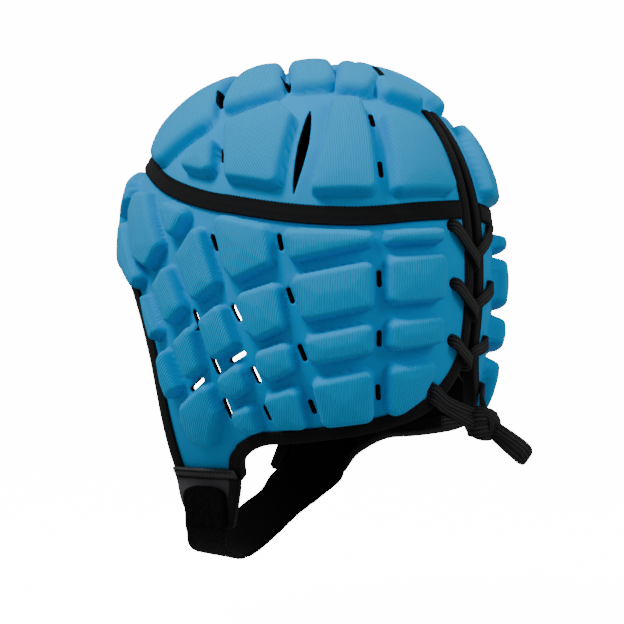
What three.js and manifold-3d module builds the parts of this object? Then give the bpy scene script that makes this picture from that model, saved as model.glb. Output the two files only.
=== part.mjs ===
// Rugby scrum cap: two laced panels of padded foam with a seam tape, bound edges, a lace and a chin strap.
// Millimetres, +Z up, front of the head towards -Y, the wearer's left towards +X.
// The origin is on the inside of the crown, at the point that rests on top of the head.
import * as THREE from "three";
import Module from "manifold-3d";

const wasm = await Module();
wasm.setup();

// Head form: how far the valleys between the pads lie from the middle, and how deep each side is rounded.
const FRONT_REACH = 104;
const BACK_REACH = 108.5;
const SIDE_REACH = 85.5;
const FRONT_DEPTH = 94;
const BACK_DEPTH = 117.5;
const SIDE_DEPTH = 102.7;
const CHART_DEPTH = 105;
const FRONT_ROUNDING = 2.13;
const BACK_ROUNDING = 2.43;
const SIDE_ROUNDING = 2.04;
const FRONT_SQUARENESS = 2.2;
const BACK_SQUARENESS = 2.3;
const NAPE_TUCK = 27.6;
const FLAP_TUCK = 16.8;

// Padded wall
const WALL = 3.2;
const PAD_HEIGHT = 8;
const PAD_CROWN = 0.7;
const TOP_EDGE_HEIGHT = 7;
const TOP_INSET = 2.8;
const PAD_CORNER = 4.5;
const PAD_ROOT = 1.2;
const FACET_TOLERANCE = 0.2;
const KEEP_OUT_ARC = 1;
const LONG_EDGE = 32;
const CROWN_ROWS = 8;
const WRAP_ROWS = 7;
const VENT_WIDTH = 3;
const VENT_REACH = 2.5;

// Tapes and bindings
const GAP = 0.3;
const SEAM_GAP = 0.6;
const TAPE_WIDTH = 9;
const TAPE_THICKNESS = 1.2;
const BINDING_WIDTH = 6;
const BINDING_THICKNESS = 1.2;
const OUTER_CLEARANCE = 0.5;
const INNER_CLEARANCE = 1.3;

// Back slot
const SLOT_TOP_ARC = 42;
const SLOT_TOP_HALF = 1.8;
const SLOT_HALF = 3.8;
const SLOT_OPENING_ARC = 80;
const SLOT_CORNER_ARC = 117;

// Lace
const LACE_WIDTH = 4.2;
const LACE_THICKNESS = 2;
const EYELET_WIDTH = 7;
const LOOP_WIDTH = 7;
const LOOP_LENGTH = 46;
const LOOP_OPENING = 7;
const KNOT_WIDTH = 17;
const KNOT_DEPTH = 13;
const KNOT_HEIGHT = 15;
const KNOT_LIFT = 11;
const KNOT_ARC = 141.5;
const STUB_LENGTH = 20;
const CROSSING_SPLIT = 1.3;

// Chin strap
const TAB_THICKNESS = 1.8;
const TAB_TOP_ARC = 154.5;
const TAB_BINDING_WIDTH = 5;
const STRAP_THICKNESS = 2.2;
const STRAP_HALF = 54;
const STRAP_DROP = 50;
const STRAP_TILT = 3;
const STRAP_SEWN_ARC = 150;
const FLAP_END_ARC = 158;

const DEG = Math.PI / 180;

// Seam between the crown and the wrap panel: arc from the top of the head at each azimuth, in degrees.
const SEAM_LINE = [
  { azimuth: 0, arc: 54 },
  { azimuth: 30, arc: 56.5 },
  { azimuth: 50, arc: 62 },
  { azimuth: 70, arc: 70 },
  { azimuth: 90, arc: 76.2 },
  { azimuth: 110, arc: 80 },
  { azimuth: 130, arc: 81.2 },
  { azimuth: 155, arc: 79.4 },
  { azimuth: 180, arc: 77.5 },
];

// Lower edge of the left half of the wrap panel, from the middle of the forehead to the back slot.
// Each column of the panel starts at the seam at top and ends at azimuth and arc, all in degrees.
const LOWER_EDGE = [
  { part: "forehead", top: 0, azimuth: 0, arc: 94.5 },
  { part: "forehead", top: 11, azimuth: 11, arc: 94.7 },
  { part: "forehead", top: 22, azimuth: 22, arc: 95.2 },
  { part: "forehead", top: 33, azimuth: 34, arc: 96.4 },
  { part: "temple", top: 42, azimuth: 45, arc: 100 },
  { part: "temple", top: 49, azimuth: 52.4, arc: 106.6 },
  { part: "face", top: 54.5, azimuth: 57.3, arc: 114.5 },
  { part: "face", top: 59, azimuth: 60.4, arc: 123 },
  { part: "face", top: 63, azimuth: 61.6, arc: 132 },
  { part: "face", top: 67, azimuth: 61.7, arc: 141 },
  { part: "face", top: 70.5, azimuth: 61.4, arc: 149.5 },
  { part: "flap", top: 74, azimuth: 61, arc: FLAP_END_ARC },
  { part: "flap", top: 78, azimuth: 69.5, arc: FLAP_END_ARC },
  { part: "flap", top: 82, azimuth: 78, arc: FLAP_END_ARC },
  { part: "flap", top: 86, azimuth: 86.5, arc: FLAP_END_ARC },
  { part: "notch", top: 90, azimuth: 88.3, arc: 153 },
  { part: "notch", top: 94, azimuth: 92.3, arc: 149 },
  { part: "notch", top: 99, azimuth: 98, arc: 146.8 },
  { part: "nape", top: 106, azimuth: 105.5, arc: 146.2 },
  { part: "nape", top: 114, azimuth: 114, arc: 145.5 },
  { part: "nape", top: 123, azimuth: 123, arc: 144.6 },
  { part: "nape", top: 132, azimuth: 132, arc: 143.6 },
  { part: "nape", top: 141, azimuth: 141, arc: 142.2 },
  { part: "nape", top: 150, azimuth: 149.5, arc: 140.6 },
  { part: "corner", top: 158, azimuth: 157.5, arc: 138.6 },
  { part: "corner", top: 165, azimuth: 164.5, arc: 135.8 },
  { part: "corner", top: 170, azimuth: 170, arc: 132 },
  { part: "corner", top: 174, azimuth: 174.6, arc: 127 },
  { part: "corner", top: 177, azimuth: 177.4, arc: 121.5 },
];

// Pads of the left half: corners in turn as azimuth and arc in degrees, at the foot of the pad's wall.
const SIDE_PADS = [
  { pad: "under_seam_back", corners: [[140.5, 85.6], [162, 84.2], [162, 88.4], [140.5, 89.6]] },
  { pad: "under_seam_rear", corners: [[107.6, 84.8], [136.4, 85.8], [136, 89.8], [111, 94.6]] },
  { pad: "under_seam_middle", corners: [[88.8, 79.4], [104.2, 83.8], [105.6, 95], [95, 99.8], [92, 96]] },
  { pad: "temple_long", corners: [[85, 81.2], [90.8, 100.6], [84.6, 105.4], [82.8, 104], [77.4, 91]] },
  { pad: "temple_triangle", corners: [[68.4, 74.4], [81.2, 78.6], [75.4, 86.4]] },
  { pad: "brow_outer", corners: [[51, 70.6], [60.6, 71.4], [71, 88], [64.6, 95], [55, 91.6], [49, 77]] },
  { pad: "brow_lower", corners: [[36.5, 78.6], [45.6, 80.6], [59.2, 97], [55.4, 101.2], [45, 95.2], [33, 91.6]] },
  { pad: "brow_button", corners: [[42.4, 68.4], [46.6, 69.4], [46.2, 73.6], [41.4, 73]] },
  { pad: "brow_inner", corners: [[17.4, 61], [37.6, 66.6], [39.4, 72.6], [31, 77.6], [29, 91], [17.4, 90.6]] },
  { pad: "second_back", corners: [[140.5, 93.2], [161, 91.2], [163, 94], [162.4, 105], [140.8, 106.8]] },
  { pad: "second_rear", corners: [[110.5, 98.4], [136, 93.8], [136.6, 107.4], [114.4, 111.6]] },
  { pad: "second_middle", corners: [[95, 103.2], [107, 99.6], [109.4, 113], [100.6, 117], [97.4, 113.8]] },
  { pad: "second_front", corners: [[91, 105], [95, 118.2], [89.4, 122.4], [87.6, 120.4], [84.8, 110.4]] },
  { pad: "second_temple", corners: [[73.5, 92.6], [80.4, 107], [74, 112.6], [72.2, 110], [67, 99.8]] },
  { pad: "second_edge", corners: [[60.4, 101], [69.2, 113.4], [65.4, 116.6], [62.4, 109.6]] },
  { pad: "third_back", corners: [[141, 111], [162, 108.6], [163, 117.2], [141.6, 119.8]] },
  { pad: "third_rear", corners: [[114.6, 115.4], [136.6, 111.2], [137, 120.2], [117, 123.8]] },
  { pad: "third_middle", corners: [[99.8, 119.6], [109.8, 116.6], [112.4, 124.8], [104.2, 128.6], [100.4, 125.8]] },
  { pad: "third_front", corners: [[95.8, 121.8], [97.6, 130.4], [92.8, 133.6], [90, 131.4], [89, 127]] },
  { pad: "third_temple", corners: [[82.6, 110.8], [85.4, 124.6], [80, 128.4], [78.4, 126], [75.4, 116.4]] },
  { pad: "third_edge", corners: [[70.4, 117.6], [75.8, 130.2], [70, 134.4], [67.8, 128.6], [67.2, 121.6]] },
  { pad: "fourth_back", corners: [[141.8, 123.8], [161, 121.2], [160.4, 126.6], [156.6, 133.4], [150, 137], [143.4, 138.8]] },
  { pad: "fourth_rear", corners: [[116.6, 127.8], [137, 124], [138.6, 139.4], [120, 141.2]] },
  { pad: "fourth_middle", corners: [[101, 132], [112.4, 129], [115.4, 141.6], [104.6, 141.8]] },
  { pad: "fourth_front", corners: [[97.4, 134], [99.4, 142.6], [93.8, 143.4], [91.6, 141], [91, 136.6]] },
  { pad: "cheek", corners: [[86.2, 127.6], [88.4, 137], [83.6, 147.2], [78, 147], [75.4, 144.6], [74, 140], [74.6, 135]] },
];

// Pads of the left half of the crown.
const CROWN_PADS = [
  { pad: "rear_panel", corners: [[144.4, 48], [152, 47], [164.6, 52.6], [170.4, 71.4], [168.4, 74], [143.4, 75.4]] },
  { pad: "middle_panel", corners: [[124.6, 41], [138.4, 42], [138.8, 56], [138.4, 75.2], [116, 75.4], [121.4, 56.6]] },
  { pad: "ear_panel", corners: [[86, 49.6], [103, 42], [110, 48.4], [106.6, 73], [91, 69.6]] },
  { pad: "front_triangle", corners: [[84.6, 53.6], [87.8, 68.6], [72, 64.8]] },
  { pad: "top_rear", corners: [[152, 38.6], [164, 13.6], [171, 17], [175.4, 38], [172, 43.6]] },
  { pad: "top_back", corners: [[128.6, 36], [151, 12.6], [161, 16.4], [156.4, 30], [143.6, 37.8]] },
  { pad: "top_middle", corners: [[107, 35], [91, 11], [121, 5.6], [150, 8.4], [127.6, 34.2]] },
  { pad: "top_ear", corners: [[81.6, 44], [27, 14.4], [54, 8.4], [77, 10.4], [102.4, 37.4]] },
  { pad: "top_front", corners: [[78, 46.4], [76.4, 49.4], [61, 61.8], [51, 58.6], [24, 39.6], [20, 19.6], [31, 18.6]] },
];

// Pads on the middle line of the forehead, each with its own mirror image folded in.
const MIDDLE_PADS = [
  { pad: "forehead_middle", corners: [[13, 59.4], [13, 90.2], [-13, 90.2], [-13, 59.4]] },
];

// Vents of the left half: both ends of each slot as azimuth and arc in degrees.
const SIDE_VENTS = [
  { vent: "temple_upper", from: [87.8, 85.3], to: [89.6, 90.4] },
  { vent: "middle_upper", from: [106.4, 85.9], to: [107.4, 90.9] },
  { vent: "middle_second", from: [109, 101.4], to: [110.8, 106.2] },
  { vent: "front_second", from: [92.8, 106.2], to: [95, 111.2] },
  { vent: "temple_second", from: [81.6, 107.4], to: [84, 113.6] },
  { vent: "front_third", from: [86.4, 119.8], to: [88.6, 126.6] },
  { vent: "front_cross", from: [91.4, 122.8], to: [96, 120] },
  { vent: "middle_third", from: [97.6, 124.3], to: [99.6, 129.2] },
  { vent: "rear_third", from: [112.4, 117.8], to: [114.6, 122.7] },
  { vent: "edge_third", from: [73.6, 120.1], to: [76, 124.8] },
  { vent: "cheek_cross", from: [77.6, 131.4], to: [83.2, 127.8] },
  { vent: "cheek_rear", from: [88.8, 133.6], to: [89.9, 139.8] },
  { vent: "front_fourth", from: [100.2, 135.5], to: [101.8, 140] },
  { vent: "middle_fourth", from: [115.4, 133.7], to: [117.2, 138] },
  { vent: "rear_second", from: [138.3, 96.6], to: [138.5, 101.6] },
  { vent: "rear_middle", from: [138.9, 113.8], to: [139.2, 118.6] },
  { vent: "rear_fourth", from: [139.6, 129.3], to: [140.4, 134] },
];
const CROWN_VENTS = [
  { vent: "rear_upper", from: [141.4, 46], to: [141.2, 51.4] },
  { vent: "rear_lower", from: [140.8, 64], to: [140.8, 69.4] },
  { vent: "top_rear", from: [157.6, 31], to: [163, 23.6] },
  { vent: "top_middle", from: [104.6, 33.4], to: [98, 25.4] },
  { vent: "top_ear", from: [75.4, 39.6], to: [66.6, 32.2] },
  { vent: "front_lower", from: [87.2, 57.8], to: [88.6, 63] },
];

// Long open darts of the crown, one on each side: azimuth of both lips at each arc, in degrees.
const DART = [
  { arc: 44, front: 114.6, rear: 115.4 },
  { arc: 51, front: 112.6, rear: 115.6 },
  { arc: 58, front: 111.2, rear: 115.2 },
  { arc: 65, front: 110.6, rear: 113.4 },
  { arc: 73.5, front: 110.6, rear: 111.2 },
];

// Eyelets on each side of the back slot: distance from the middle as a share of SIDE_REACH, arc in degrees,
// and the arc where the strands cross below.
const LACE_ROWS = [
  { share: 0.245, arc: 83, crossing: 92.5 },
  { share: 0.236, arc: 100, crossing: 107.5 },
  { share: 0.218, arc: 116.5, crossing: 122 },
  { share: 0.322, arc: 130.5, crossing: 136 },
].map((row) => ({ ...row, eyelet: row.share * SIDE_REACH }));

// Chin tab below the end of the left flap. Drops below the flap are shares of STRAP_DROP, sides are shares of
// STRAP_HALF, and front and rear edges are shares of FRONT_REACH. The strap's table holds the same shares.
const TAB_ROWS = [
  { drop: 0.272, side: 0.97, front: 0.476, rear: 0.101 },
  { drop: 0.552, side: 0.867, front: 0.442, rear: 0.135 },
];

// Chin strap from its end on the left tab, under the chin, to the inside of the right flap.
const STRAP_ROWS = [
  { drop: 0.092, side: 1.056, front: 0.404, rear: 0.192 },
  { drop: 0.142, side: 1.048, front: 0.428, rear: 0.163 },
  { drop: 0.272, side: 1.022, front: 0.442, rear: 0.163 },
  { drop: 0.412, side: 0.978, front: 0.447, rear: 0.173 },
  { drop: 0.542, side: 0.933, front: 0.462, rear: 0.192 },
  { drop: 0.672, side: 0.806, front: 0.495, rear: 0.231 },
  { drop: 0.792, side: 0.611, front: 0.558, rear: 0.293 },
  { drop: 0.932, side: 0.296, front: 0.635, rear: 0.351 },
  { drop: 1.002, side: 0, front: 0.673, rear: 0.375 },
  { drop: 0.932, side: -0.204, front: 0.663, rear: 0.37 },
  { drop: 0.782, side: -0.398, front: 0.644, rear: 0.346 },
  { drop: 0.552, side: -0.602, front: 0.611, rear: 0.293 },
  { drop: 0.312, side: -0.769, front: 0.572, rear: 0.231 },
  { drop: 0.112, side: -0.793, front: 0.51, rear: 0.168 },
];

const clamp = THREE.MathUtils.clamp;
const lerp = THREE.MathUtils.lerp;

function dome(share, rounding) {
  return (1 - (1 - clamp(share, 0, 1)) ** rounding) ** (1 / rounding);
}

function dropAt(arc) {
  return arc <= 90 ? CHART_DEPTH * (1 - Math.cos(arc * DEG)) : CHART_DEPTH * (1 + (arc - 90) * DEG);
}

function reachAt(drop) {
  const belowBack = Math.max(drop - BACK_DEPTH, 0) / BACK_DEPTH;
  const belowSide = Math.max(drop - SIDE_DEPTH, 0) / SIDE_DEPTH;
  return {
    front: FRONT_REACH * dome(drop / FRONT_DEPTH, FRONT_ROUNDING),
    back: BACK_REACH * dome(drop / BACK_DEPTH, BACK_ROUNDING) - NAPE_TUCK * belowBack ** 2,
    side: SIDE_REACH * dome(drop / SIDE_DEPTH, SIDE_ROUNDING) - FLAP_TUCK * belowSide ** 3,
  };
}

function valley(azimuth, arc) {
  const drop = dropAt(arc);
  const reach = reachAt(drop);
  const across = Math.sin(azimuth * DEG);
  const along = Math.cos(azimuth * DEG);
  const power = 2 / (along > 0 ? FRONT_SQUARENESS : BACK_SQUARENESS);
  const x = reach.side * Math.sign(across) * Math.abs(across) ** power;
  const y = (along > 0 ? -reach.front : reach.back) * Math.abs(along) ** power;
  return new THREE.Vector3(x, y, WALL - drop);
}

// Point and outward normal on the outside of the wall.
function place(azimuth, arc) {
  const step = 0.05;
  const low = Math.max(arc, 2 * step);
  const down = valley(azimuth, low + step).sub(valley(azimuth, low - step));
  const round = valley(azimuth + step, low).sub(valley(azimuth - step, low));
  return { point: valley(azimuth, arc), normal: down.cross(round).normalize(), azimuth, arc };
}

function lifted(spot, lift) {
  return spot.point.clone().addScaledVector(spot.normal, lift);
}

// Azimuth of the point of the back that lies a given distance from the middle plane.
function backAzimuth(distance, arc) {
  const share = clamp(distance / reachAt(dropAt(arc)).side, 0, 1);
  return 180 - Math.asin(share ** (BACK_SQUARENESS / 2)) / DEG;
}

function slotHalf(arc) {
  const opened = clamp((arc - SLOT_TOP_ARC) / (SLOT_OPENING_ARC - SLOT_TOP_ARC), 0, 1);
  return lerp(SLOT_TOP_HALF, SLOT_HALF, opened);
}

// Straight runs between the rows of a table.
function tableValue(table, key, value, at) {
  const last = table.length - 1;
  const above = table.findIndex((row) => row[key] >= at);
  const high = above < 0 ? last : Math.max(above, 1);
  const share = (at - table[high - 1][key]) / (table[high][key] - table[high - 1][key]);
  return lerp(table[high - 1][value], table[high][value], clamp(share, 0, 1));
}

const seamCurve = new THREE.CatmullRomCurve3(
  SEAM_LINE.map((row) => new THREE.Vector3(row.azimuth, row.arc, 0)),
  false,
  "centripetal",
);
const SEAM_SAMPLES = seamCurve.getPoints(90).map((p) => ({ azimuth: p.x, arc: p.y }));

function seamArc(azimuth) {
  return tableValue(SEAM_SAMPLES, "azimuth", "arc", Math.abs(azimuth));
}

// Closed solid from points and faces; equal points are merged and flat faces dropped.
function solid(points, faces) {
  const seen = new Map();
  const coordinates = [];
  const index = points.map((p) => {
    const key = [p.x, p.y, p.z].map((value) => Math.round(value * 1e4)).join();
    if (!seen.has(key)) {
      seen.set(key, coordinates.length / 3);
      coordinates.push(p.x, p.y, p.z);
    }
    return seen.get(key);
  });
  const kept = faces
    .map((face) => face.map((corner) => index[corner]))
    .filter(([a, b, c]) => a !== b && b !== c && c !== a);
  const build = (triangles) => new wasm.Manifold(new wasm.Mesh({
    numProp: 3,
    vertProperties: new Float32Array(coordinates),
    triVerts: new Uint32Array(triangles.flat()),
  }));
  const body = build(kept);
  return body.volume() > 0 ? body : build(kept.map(([a, b, c]) => [a, c, b]));
}

// Sheet of even thickness over a grid of spots, between two lifts from the spots.
function sheet(grid, low, high, closed = false) {
  const rows = grid.length;
  const columns = grid[0].length;
  const points = [];
  for (const lift of [high, low]) {
    grid.forEach((row, i) => row.forEach((spot) => {
      points.push(lifted(spot, typeof lift === "function" ? lift(i / (rows - 1)) : lift));
    }));
  }
  const at = (layer, i, j) => layer * rows * columns + i * columns + (j % columns);
  const faces = [];
  const quad = (a, b, c, d) => faces.push([a, b, c], [a, c, d]);
  const spans = closed ? columns : columns - 1;
  for (let i = 0; i < rows - 1; i += 1) {
    for (let j = 0; j < spans; j += 1) {
      quad(at(0, i, j), at(0, i + 1, j), at(0, i + 1, j + 1), at(0, i, j + 1));
      quad(at(1, i, j), at(1, i, j + 1), at(1, i + 1, j + 1), at(1, i + 1, j));
    }
  }
  for (let j = 0; j < spans; j += 1) {
    quad(at(0, 0, j), at(0, 0, j + 1), at(1, 0, j + 1), at(1, 0, j));
    quad(at(0, rows - 1, j + 1), at(0, rows - 1, j), at(1, rows - 1, j), at(1, rows - 1, j + 1));
  }
  if (!closed) {
    for (let i = 0; i < rows - 1; i += 1) {
      quad(at(0, i + 1, 0), at(0, i, 0), at(1, i, 0), at(1, i + 1, 0));
      quad(at(0, i, columns - 1), at(0, i + 1, columns - 1), at(1, i + 1, columns - 1), at(1, i, columns - 1));
    }
  }
  return solid(points, faces);
}

// Flat ends of a channel with eight corners.
const CHANNEL_ENDS = [[0, 1, 6], [0, 6, 7], [1, 2, 5], [1, 5, 6], [2, 3, 4], [2, 4, 5]];

function fan(count) {
  return Array.from({ length: count - 2 }, (_, j) => [0, j + 1, j + 2]);
}

// Solid through a row of rings with equal numbers of points, with flat ends.
function loft(rings, ends = fan(rings[0].length)) {
  const count = rings[0].length;
  const points = rings.flat();
  const faces = [];
  for (let i = 0; i < rings.length - 1; i += 1) {
    for (let j = 0; j < count; j += 1) {
      const a = i * count + j;
      const b = i * count + ((j + 1) % count);
      faces.push([a, b, b + count], [a, b + count, a + count]);
    }
  }
  const last = (rings.length - 1) * count;
  for (const [a, b, c] of ends) {
    faces.push([a, c, b], [last + a, last + b, last + c]);
  }
  return solid(points, faces);
}

// Ring of spots round a pad: corners are cut off, long edges get a middle point.
function padRing(corners) {
  const spots = corners.map(([azimuth, arc]) => place(azimuth, arc));
  const flat = (spot) => {
    const turn = spot.azimuth * DEG;
    return new THREE.Vector2(spot.arc * Math.sin(turn), -spot.arc * Math.cos(turn));
  };
  const between = (a, b, share) => {
    const chart = flat(a).lerp(flat(b), share);
    return place(Math.atan2(chart.x, -chart.y) / DEG, chart.length());
  };
  const ring = [];
  spots.forEach((spot, i) => {
    const next = spots[(i + 1) % spots.length];
    const length = spot.point.distanceTo(next.point);
    const cut = Math.min(PAD_CORNER, length * 0.32) / length;
    ring.push(between(spot, next, cut));
    if (length > LONG_EDGE) {
      ring.push(between(spot, next, 0.5));
    }
    ring.push(between(spot, next, 1 - cut));
  });
  return ring;
}

// Ring moved towards the pad's middle within the surface, then lifted.
function insetRing(ring, inset, lift) {
  return ring.map((spot, i) => {
    const before = ring[(i + ring.length - 1) % ring.length].point;
    const after = ring[(i + 1) % ring.length].point;
    const first = spot.point.clone().sub(before).normalize();
    const second = after.clone().sub(spot.point).normalize();
    const inward = first.clone().add(second).cross(spot.normal).normalize();
    const middle = centreOf(ring.map((each) => each.point)).sub(spot.point);
    if (inward.dot(middle) < 0) {
      inward.negate();
    }
    const mitre = Math.sqrt((1 + clamp(first.dot(second), -0.5, 1)) / 2);
    return lifted(spot, lift).addScaledVector(inward, inset / mitre);
  });
}

function centreOf(points) {
  return points.reduce((sum, p) => sum.add(p), new THREE.Vector3()).divideScalar(points.length);
}

function pad(corners) {
  const ring = padRing(corners);
  const count = ring.length;
  const levels = [insetRing(ring, 0, -PAD_ROOT), insetRing(ring, TOP_INSET, TOP_EDGE_HEIGHT)];
  const up = centreOf(ring.map((spot) => spot.normal)).normalize();
  const foot = centreOf(levels[0]);
  const top = centreOf(levels[1]);
  const chord = centreOf(ring.map((spot) => spot.point));
  const bulge = Math.max(surfaceAbove(chord).sub(chord).dot(up), 0);
  top.addScaledVector(up, bulge + PAD_HEIGHT + PAD_CROWN - TOP_EDGE_HEIGHT);
  const points = [...levels.flat(), foot, top];
  const faces = [];
  for (let j = 0; j < count; j += 1) {
    const k = (j + 1) % count;
    faces.push([j, k, k + count], [j, k + count, j + count]);
    faces.push([2 * count, k, j], [2 * count + 1, count + j, count + k]);
  }
  return solid(points, faces);
}

// Point of the outer surface above a point just under it, found by halving the arc.
function surfaceAbove(inside) {
  const azimuth = Math.atan2(inside.x, -inside.y) / DEG;
  let low = 0;
  let high = FLAP_END_ARC;
  for (let step = 0; step < 30; step += 1) {
    const arc = (low + high) / 2;
    const spot = valley(azimuth, arc);
    const down = valley(azimuth, arc + 0.5).sub(spot);
    if (inside.clone().sub(spot).dot(down) > 0) {
      low = arc;
    } else {
      high = arc;
    }
  }
  return valley(azimuth, low);
}

function mirrored(corners) {
  return corners.map(([azimuth, arc]) => [-azimuth, arc]).reverse();
}

// Straight slot cut through the wall.
function ventCutter([fromAzimuth, fromArc], [toAzimuth, toArc]) {
  const from = place(fromAzimuth, fromArc);
  const to = place(toAzimuth, toArc);
  const along = to.point.clone().sub(from.point).normalize();
  const across = along.clone().cross(from.normal).normalize();
  const outline = (lift) => [
    lifted(from, lift).addScaledVector(across, VENT_WIDTH / 2),
    lifted(to, lift).addScaledVector(across, VENT_WIDTH / 2),
    lifted(to, lift).addScaledVector(across, -VENT_WIDTH / 2),
    lifted(from, lift).addScaledVector(across, -VENT_WIDTH / 2),
  ];
  return loft([outline(-WALL - VENT_REACH), outline(VENT_REACH)]);
}

// Six-sided hole through the wall for the lace.
function eyeletCutter(distance, arc, side) {
  const spot = place(side * backAzimuth(distance, arc), arc);
  const across = new THREE.Vector3(0, 0, 1).cross(spot.normal).normalize();
  const along = spot.normal.clone().cross(across);
  const ring = (lift) => Array.from({ length: 6 }, (_, k) => {
    const turn = (k / 6) * 2 * Math.PI;
    return lifted(spot, lift)
      .addScaledVector(across, (EYELET_WIDTH / 2) * Math.sin(turn))
      .addScaledVector(along, (EYELET_WIDTH / 2) * Math.cos(turn));
  });
  return loft([ring(-WALL - VENT_REACH), ring(VENT_REACH)]);
}

// Columns of the wrap panel from the right side of the slot round the forehead to the left side.
const slotColumn = {
  part: "slot",
  top: backAzimuth(SLOT_HALF, seamArc(180)),
  azimuth: backAzimuth(SLOT_HALF, SLOT_CORNER_ARC),
  arc: SLOT_CORNER_ARC,
};
const leftColumns = [...LOWER_EDGE, slotColumn];
const mirrorColumn = (column) => ({ ...column, top: -column.top, azimuth: -column.azimuth });
const wrapColumns = [...leftColumns.slice(1).reverse().map(mirrorColumn), ...leftColumns];

function wrapGrid(rows) {
  const half = (SEAM_GAP / 2 / CHART_DEPTH) / DEG;
  return Array.from({ length: rows + 1 }, (_, i) => wrapColumns.map((column) => {
    const share = i / rows;
    const azimuth = lerp(column.top, column.azimuth, share);
    return place(azimuth, lerp(seamArc(column.top) + half, column.arc, share));
  }));
}

function crownGrid(rows) {
  const half = (SEAM_GAP / 2 / CHART_DEPTH) / DEG;
  const middle = (wrapColumns.length - 1) / 2;
  const tops = wrapColumns.filter((_, i) => i === 0 || i === 2 * middle || (i - middle) % 2 === 0);
  const azimuths = [-180, ...tops.map((column) => column.top)];
  return Array.from({ length: rows + 1 }, (_, i) => azimuths.map((azimuth) => {
    return place(azimuth, (i / rows) * (seamArc(azimuth) - half));
  }));
}

// Arcs at which the rows of the two panels meet the back slot.
function slotArcs() {
  const seam = seamArc(180);
  const crown = Array.from({ length: CROWN_ROWS }, (_, i) => ((i + 1) / CROWN_ROWS) * seam);
  const wrap = Array.from({ length: WRAP_ROWS }, (_, i) => lerp(seam, SLOT_CORNER_ARC, (i + 1) / WRAP_ROWS));
  return [SLOT_TOP_ARC, ...crown.filter((arc) => arc > SLOT_TOP_ARC + 3), ...wrap];
}

function slotCutter() {
  const below = slotArcs().filter((arc) => arc < seamArc(180) + 8);
  const rows = [SLOT_TOP_ARC - GAP, ...below.slice(1)];
  const cut = 2 * PAD_HEIGHT;
  return sheet(rows.map((arc) => [1, -1].map((side) => {
    return place(side * backAzimuth(slotHalf(arc), arc), arc);
  })), -cut, cut);
}

function dartCutter(side) {
  const cut = 2 * PAD_HEIGHT;
  return sheet(DART.map((row) => [place(side * row.front, row.arc), place(side * row.rear, row.arc)]), -cut, cut);
}

function bothSides(rows, key, make) {
  return rows.flatMap((row) => [make(row[key]), make(mirrored(row[key]))]);
}

function ventCutters(vents) {
  return vents.flatMap((vent) => [1, -1].map((side) => {
    return ventCutter([side * vent.from[0], vent.from[1]], [side * vent.to[0], vent.to[1]]);
  }));
}

function crownPanel() {
  const shell = sheet(crownGrid(CROWN_ROWS), -WALL, 0, true);
  const pads = wasm.Manifold.union(bothSides(CROWN_PADS, "corners", pad)).subtract(keepOut());
  const cutters = [...ventCutters(CROWN_VENTS), dartCutter(1), dartCutter(-1), slotCutter()];
  return shell.add(pads).subtract(wasm.Manifold.union(cutters));
}

function wrapPanel() {
  const shell = sheet(wrapGrid(WRAP_ROWS), -WALL, 0);
  const raised = [...bothSides(SIDE_PADS, "corners", pad), ...MIDDLE_PADS.map((row) => pad(row.corners))];
  const pads = wasm.Manifold.union(raised).subtract(keepOut());
  const eyelets = LACE_ROWS.flatMap((row) => [1, -1].map((side) => eyeletCutter(row.eyelet, row.arc, side)));
  const cutters = [...ventCutters(SIDE_VENTS), ...eyelets];
  return shell.add(pads).subtract(wasm.Manifold.union(cutters));
}

// Tape over the seam, which stops at the binding on each side of the back slot.
function seamTape() {
  const clear = SLOT_HALF + BINDING_WIDTH + GAP;
  const end = backAzimuth(clear, seamArc(180));
  const inner = wrapColumns.map((column) => column.top).filter((azimuth) => Math.abs(azimuth) < end - 1.5);
  const half = (TAPE_WIDTH / 2 / CHART_DEPTH) / DEG;
  const azimuths = [-end, ...inner, end];
  return sheet([-half, half].map((shift) => azimuths.map((azimuth) => {
    return place(azimuth, seamArc(azimuth) + shift);
  })), GAP, GAP + TAPE_THICKNESS);
}

// Directions out of the panel along its edge, for an edge that runs on with the panel on one known side.
function outwardAlong(edge, turn) {
  return edge.map((spot, i) => {
    const before = edge[Math.max(i - 1, 0)].point;
    const after = edge[Math.min(i + 1, edge.length - 1)].point;
    return after.clone().sub(before).cross(spot.normal).normalize().multiplyScalar(turn);
  });
}

// Binding folded round the edge of the wall: a channel that follows the edge, open towards the panel.
function binding(edge, turn) {
  const off = outwardAlong(edge, turn);
  return loft(edge.map((spot, i) => {
    return channel(spot, insetSpot(spot, off[i], -BINDING_WIDTH), off[i], -WALL - INNER_CLEARANCE);
  }), CHANNEL_ENDS);
}

function channel(spot, inner, off, deep) {
  const from = (lift, reach) => lifted(spot, lift).addScaledVector(off, reach);
  const top = OUTER_CLEARANCE + BINDING_THICKNESS;
  const reach = GAP + BINDING_THICKNESS;
  return [
    lifted(inner, top),
    from(top, reach),
    from(deep - BINDING_THICKNESS, reach),
    lifted(inner, deep - BINDING_THICKNESS),
    lifted(inner, deep),
    from(deep, GAP),
    from(OUTER_CLEARANCE, GAP),
    lifted(inner, OUTER_CLEARANCE),
  ];
}

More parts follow.
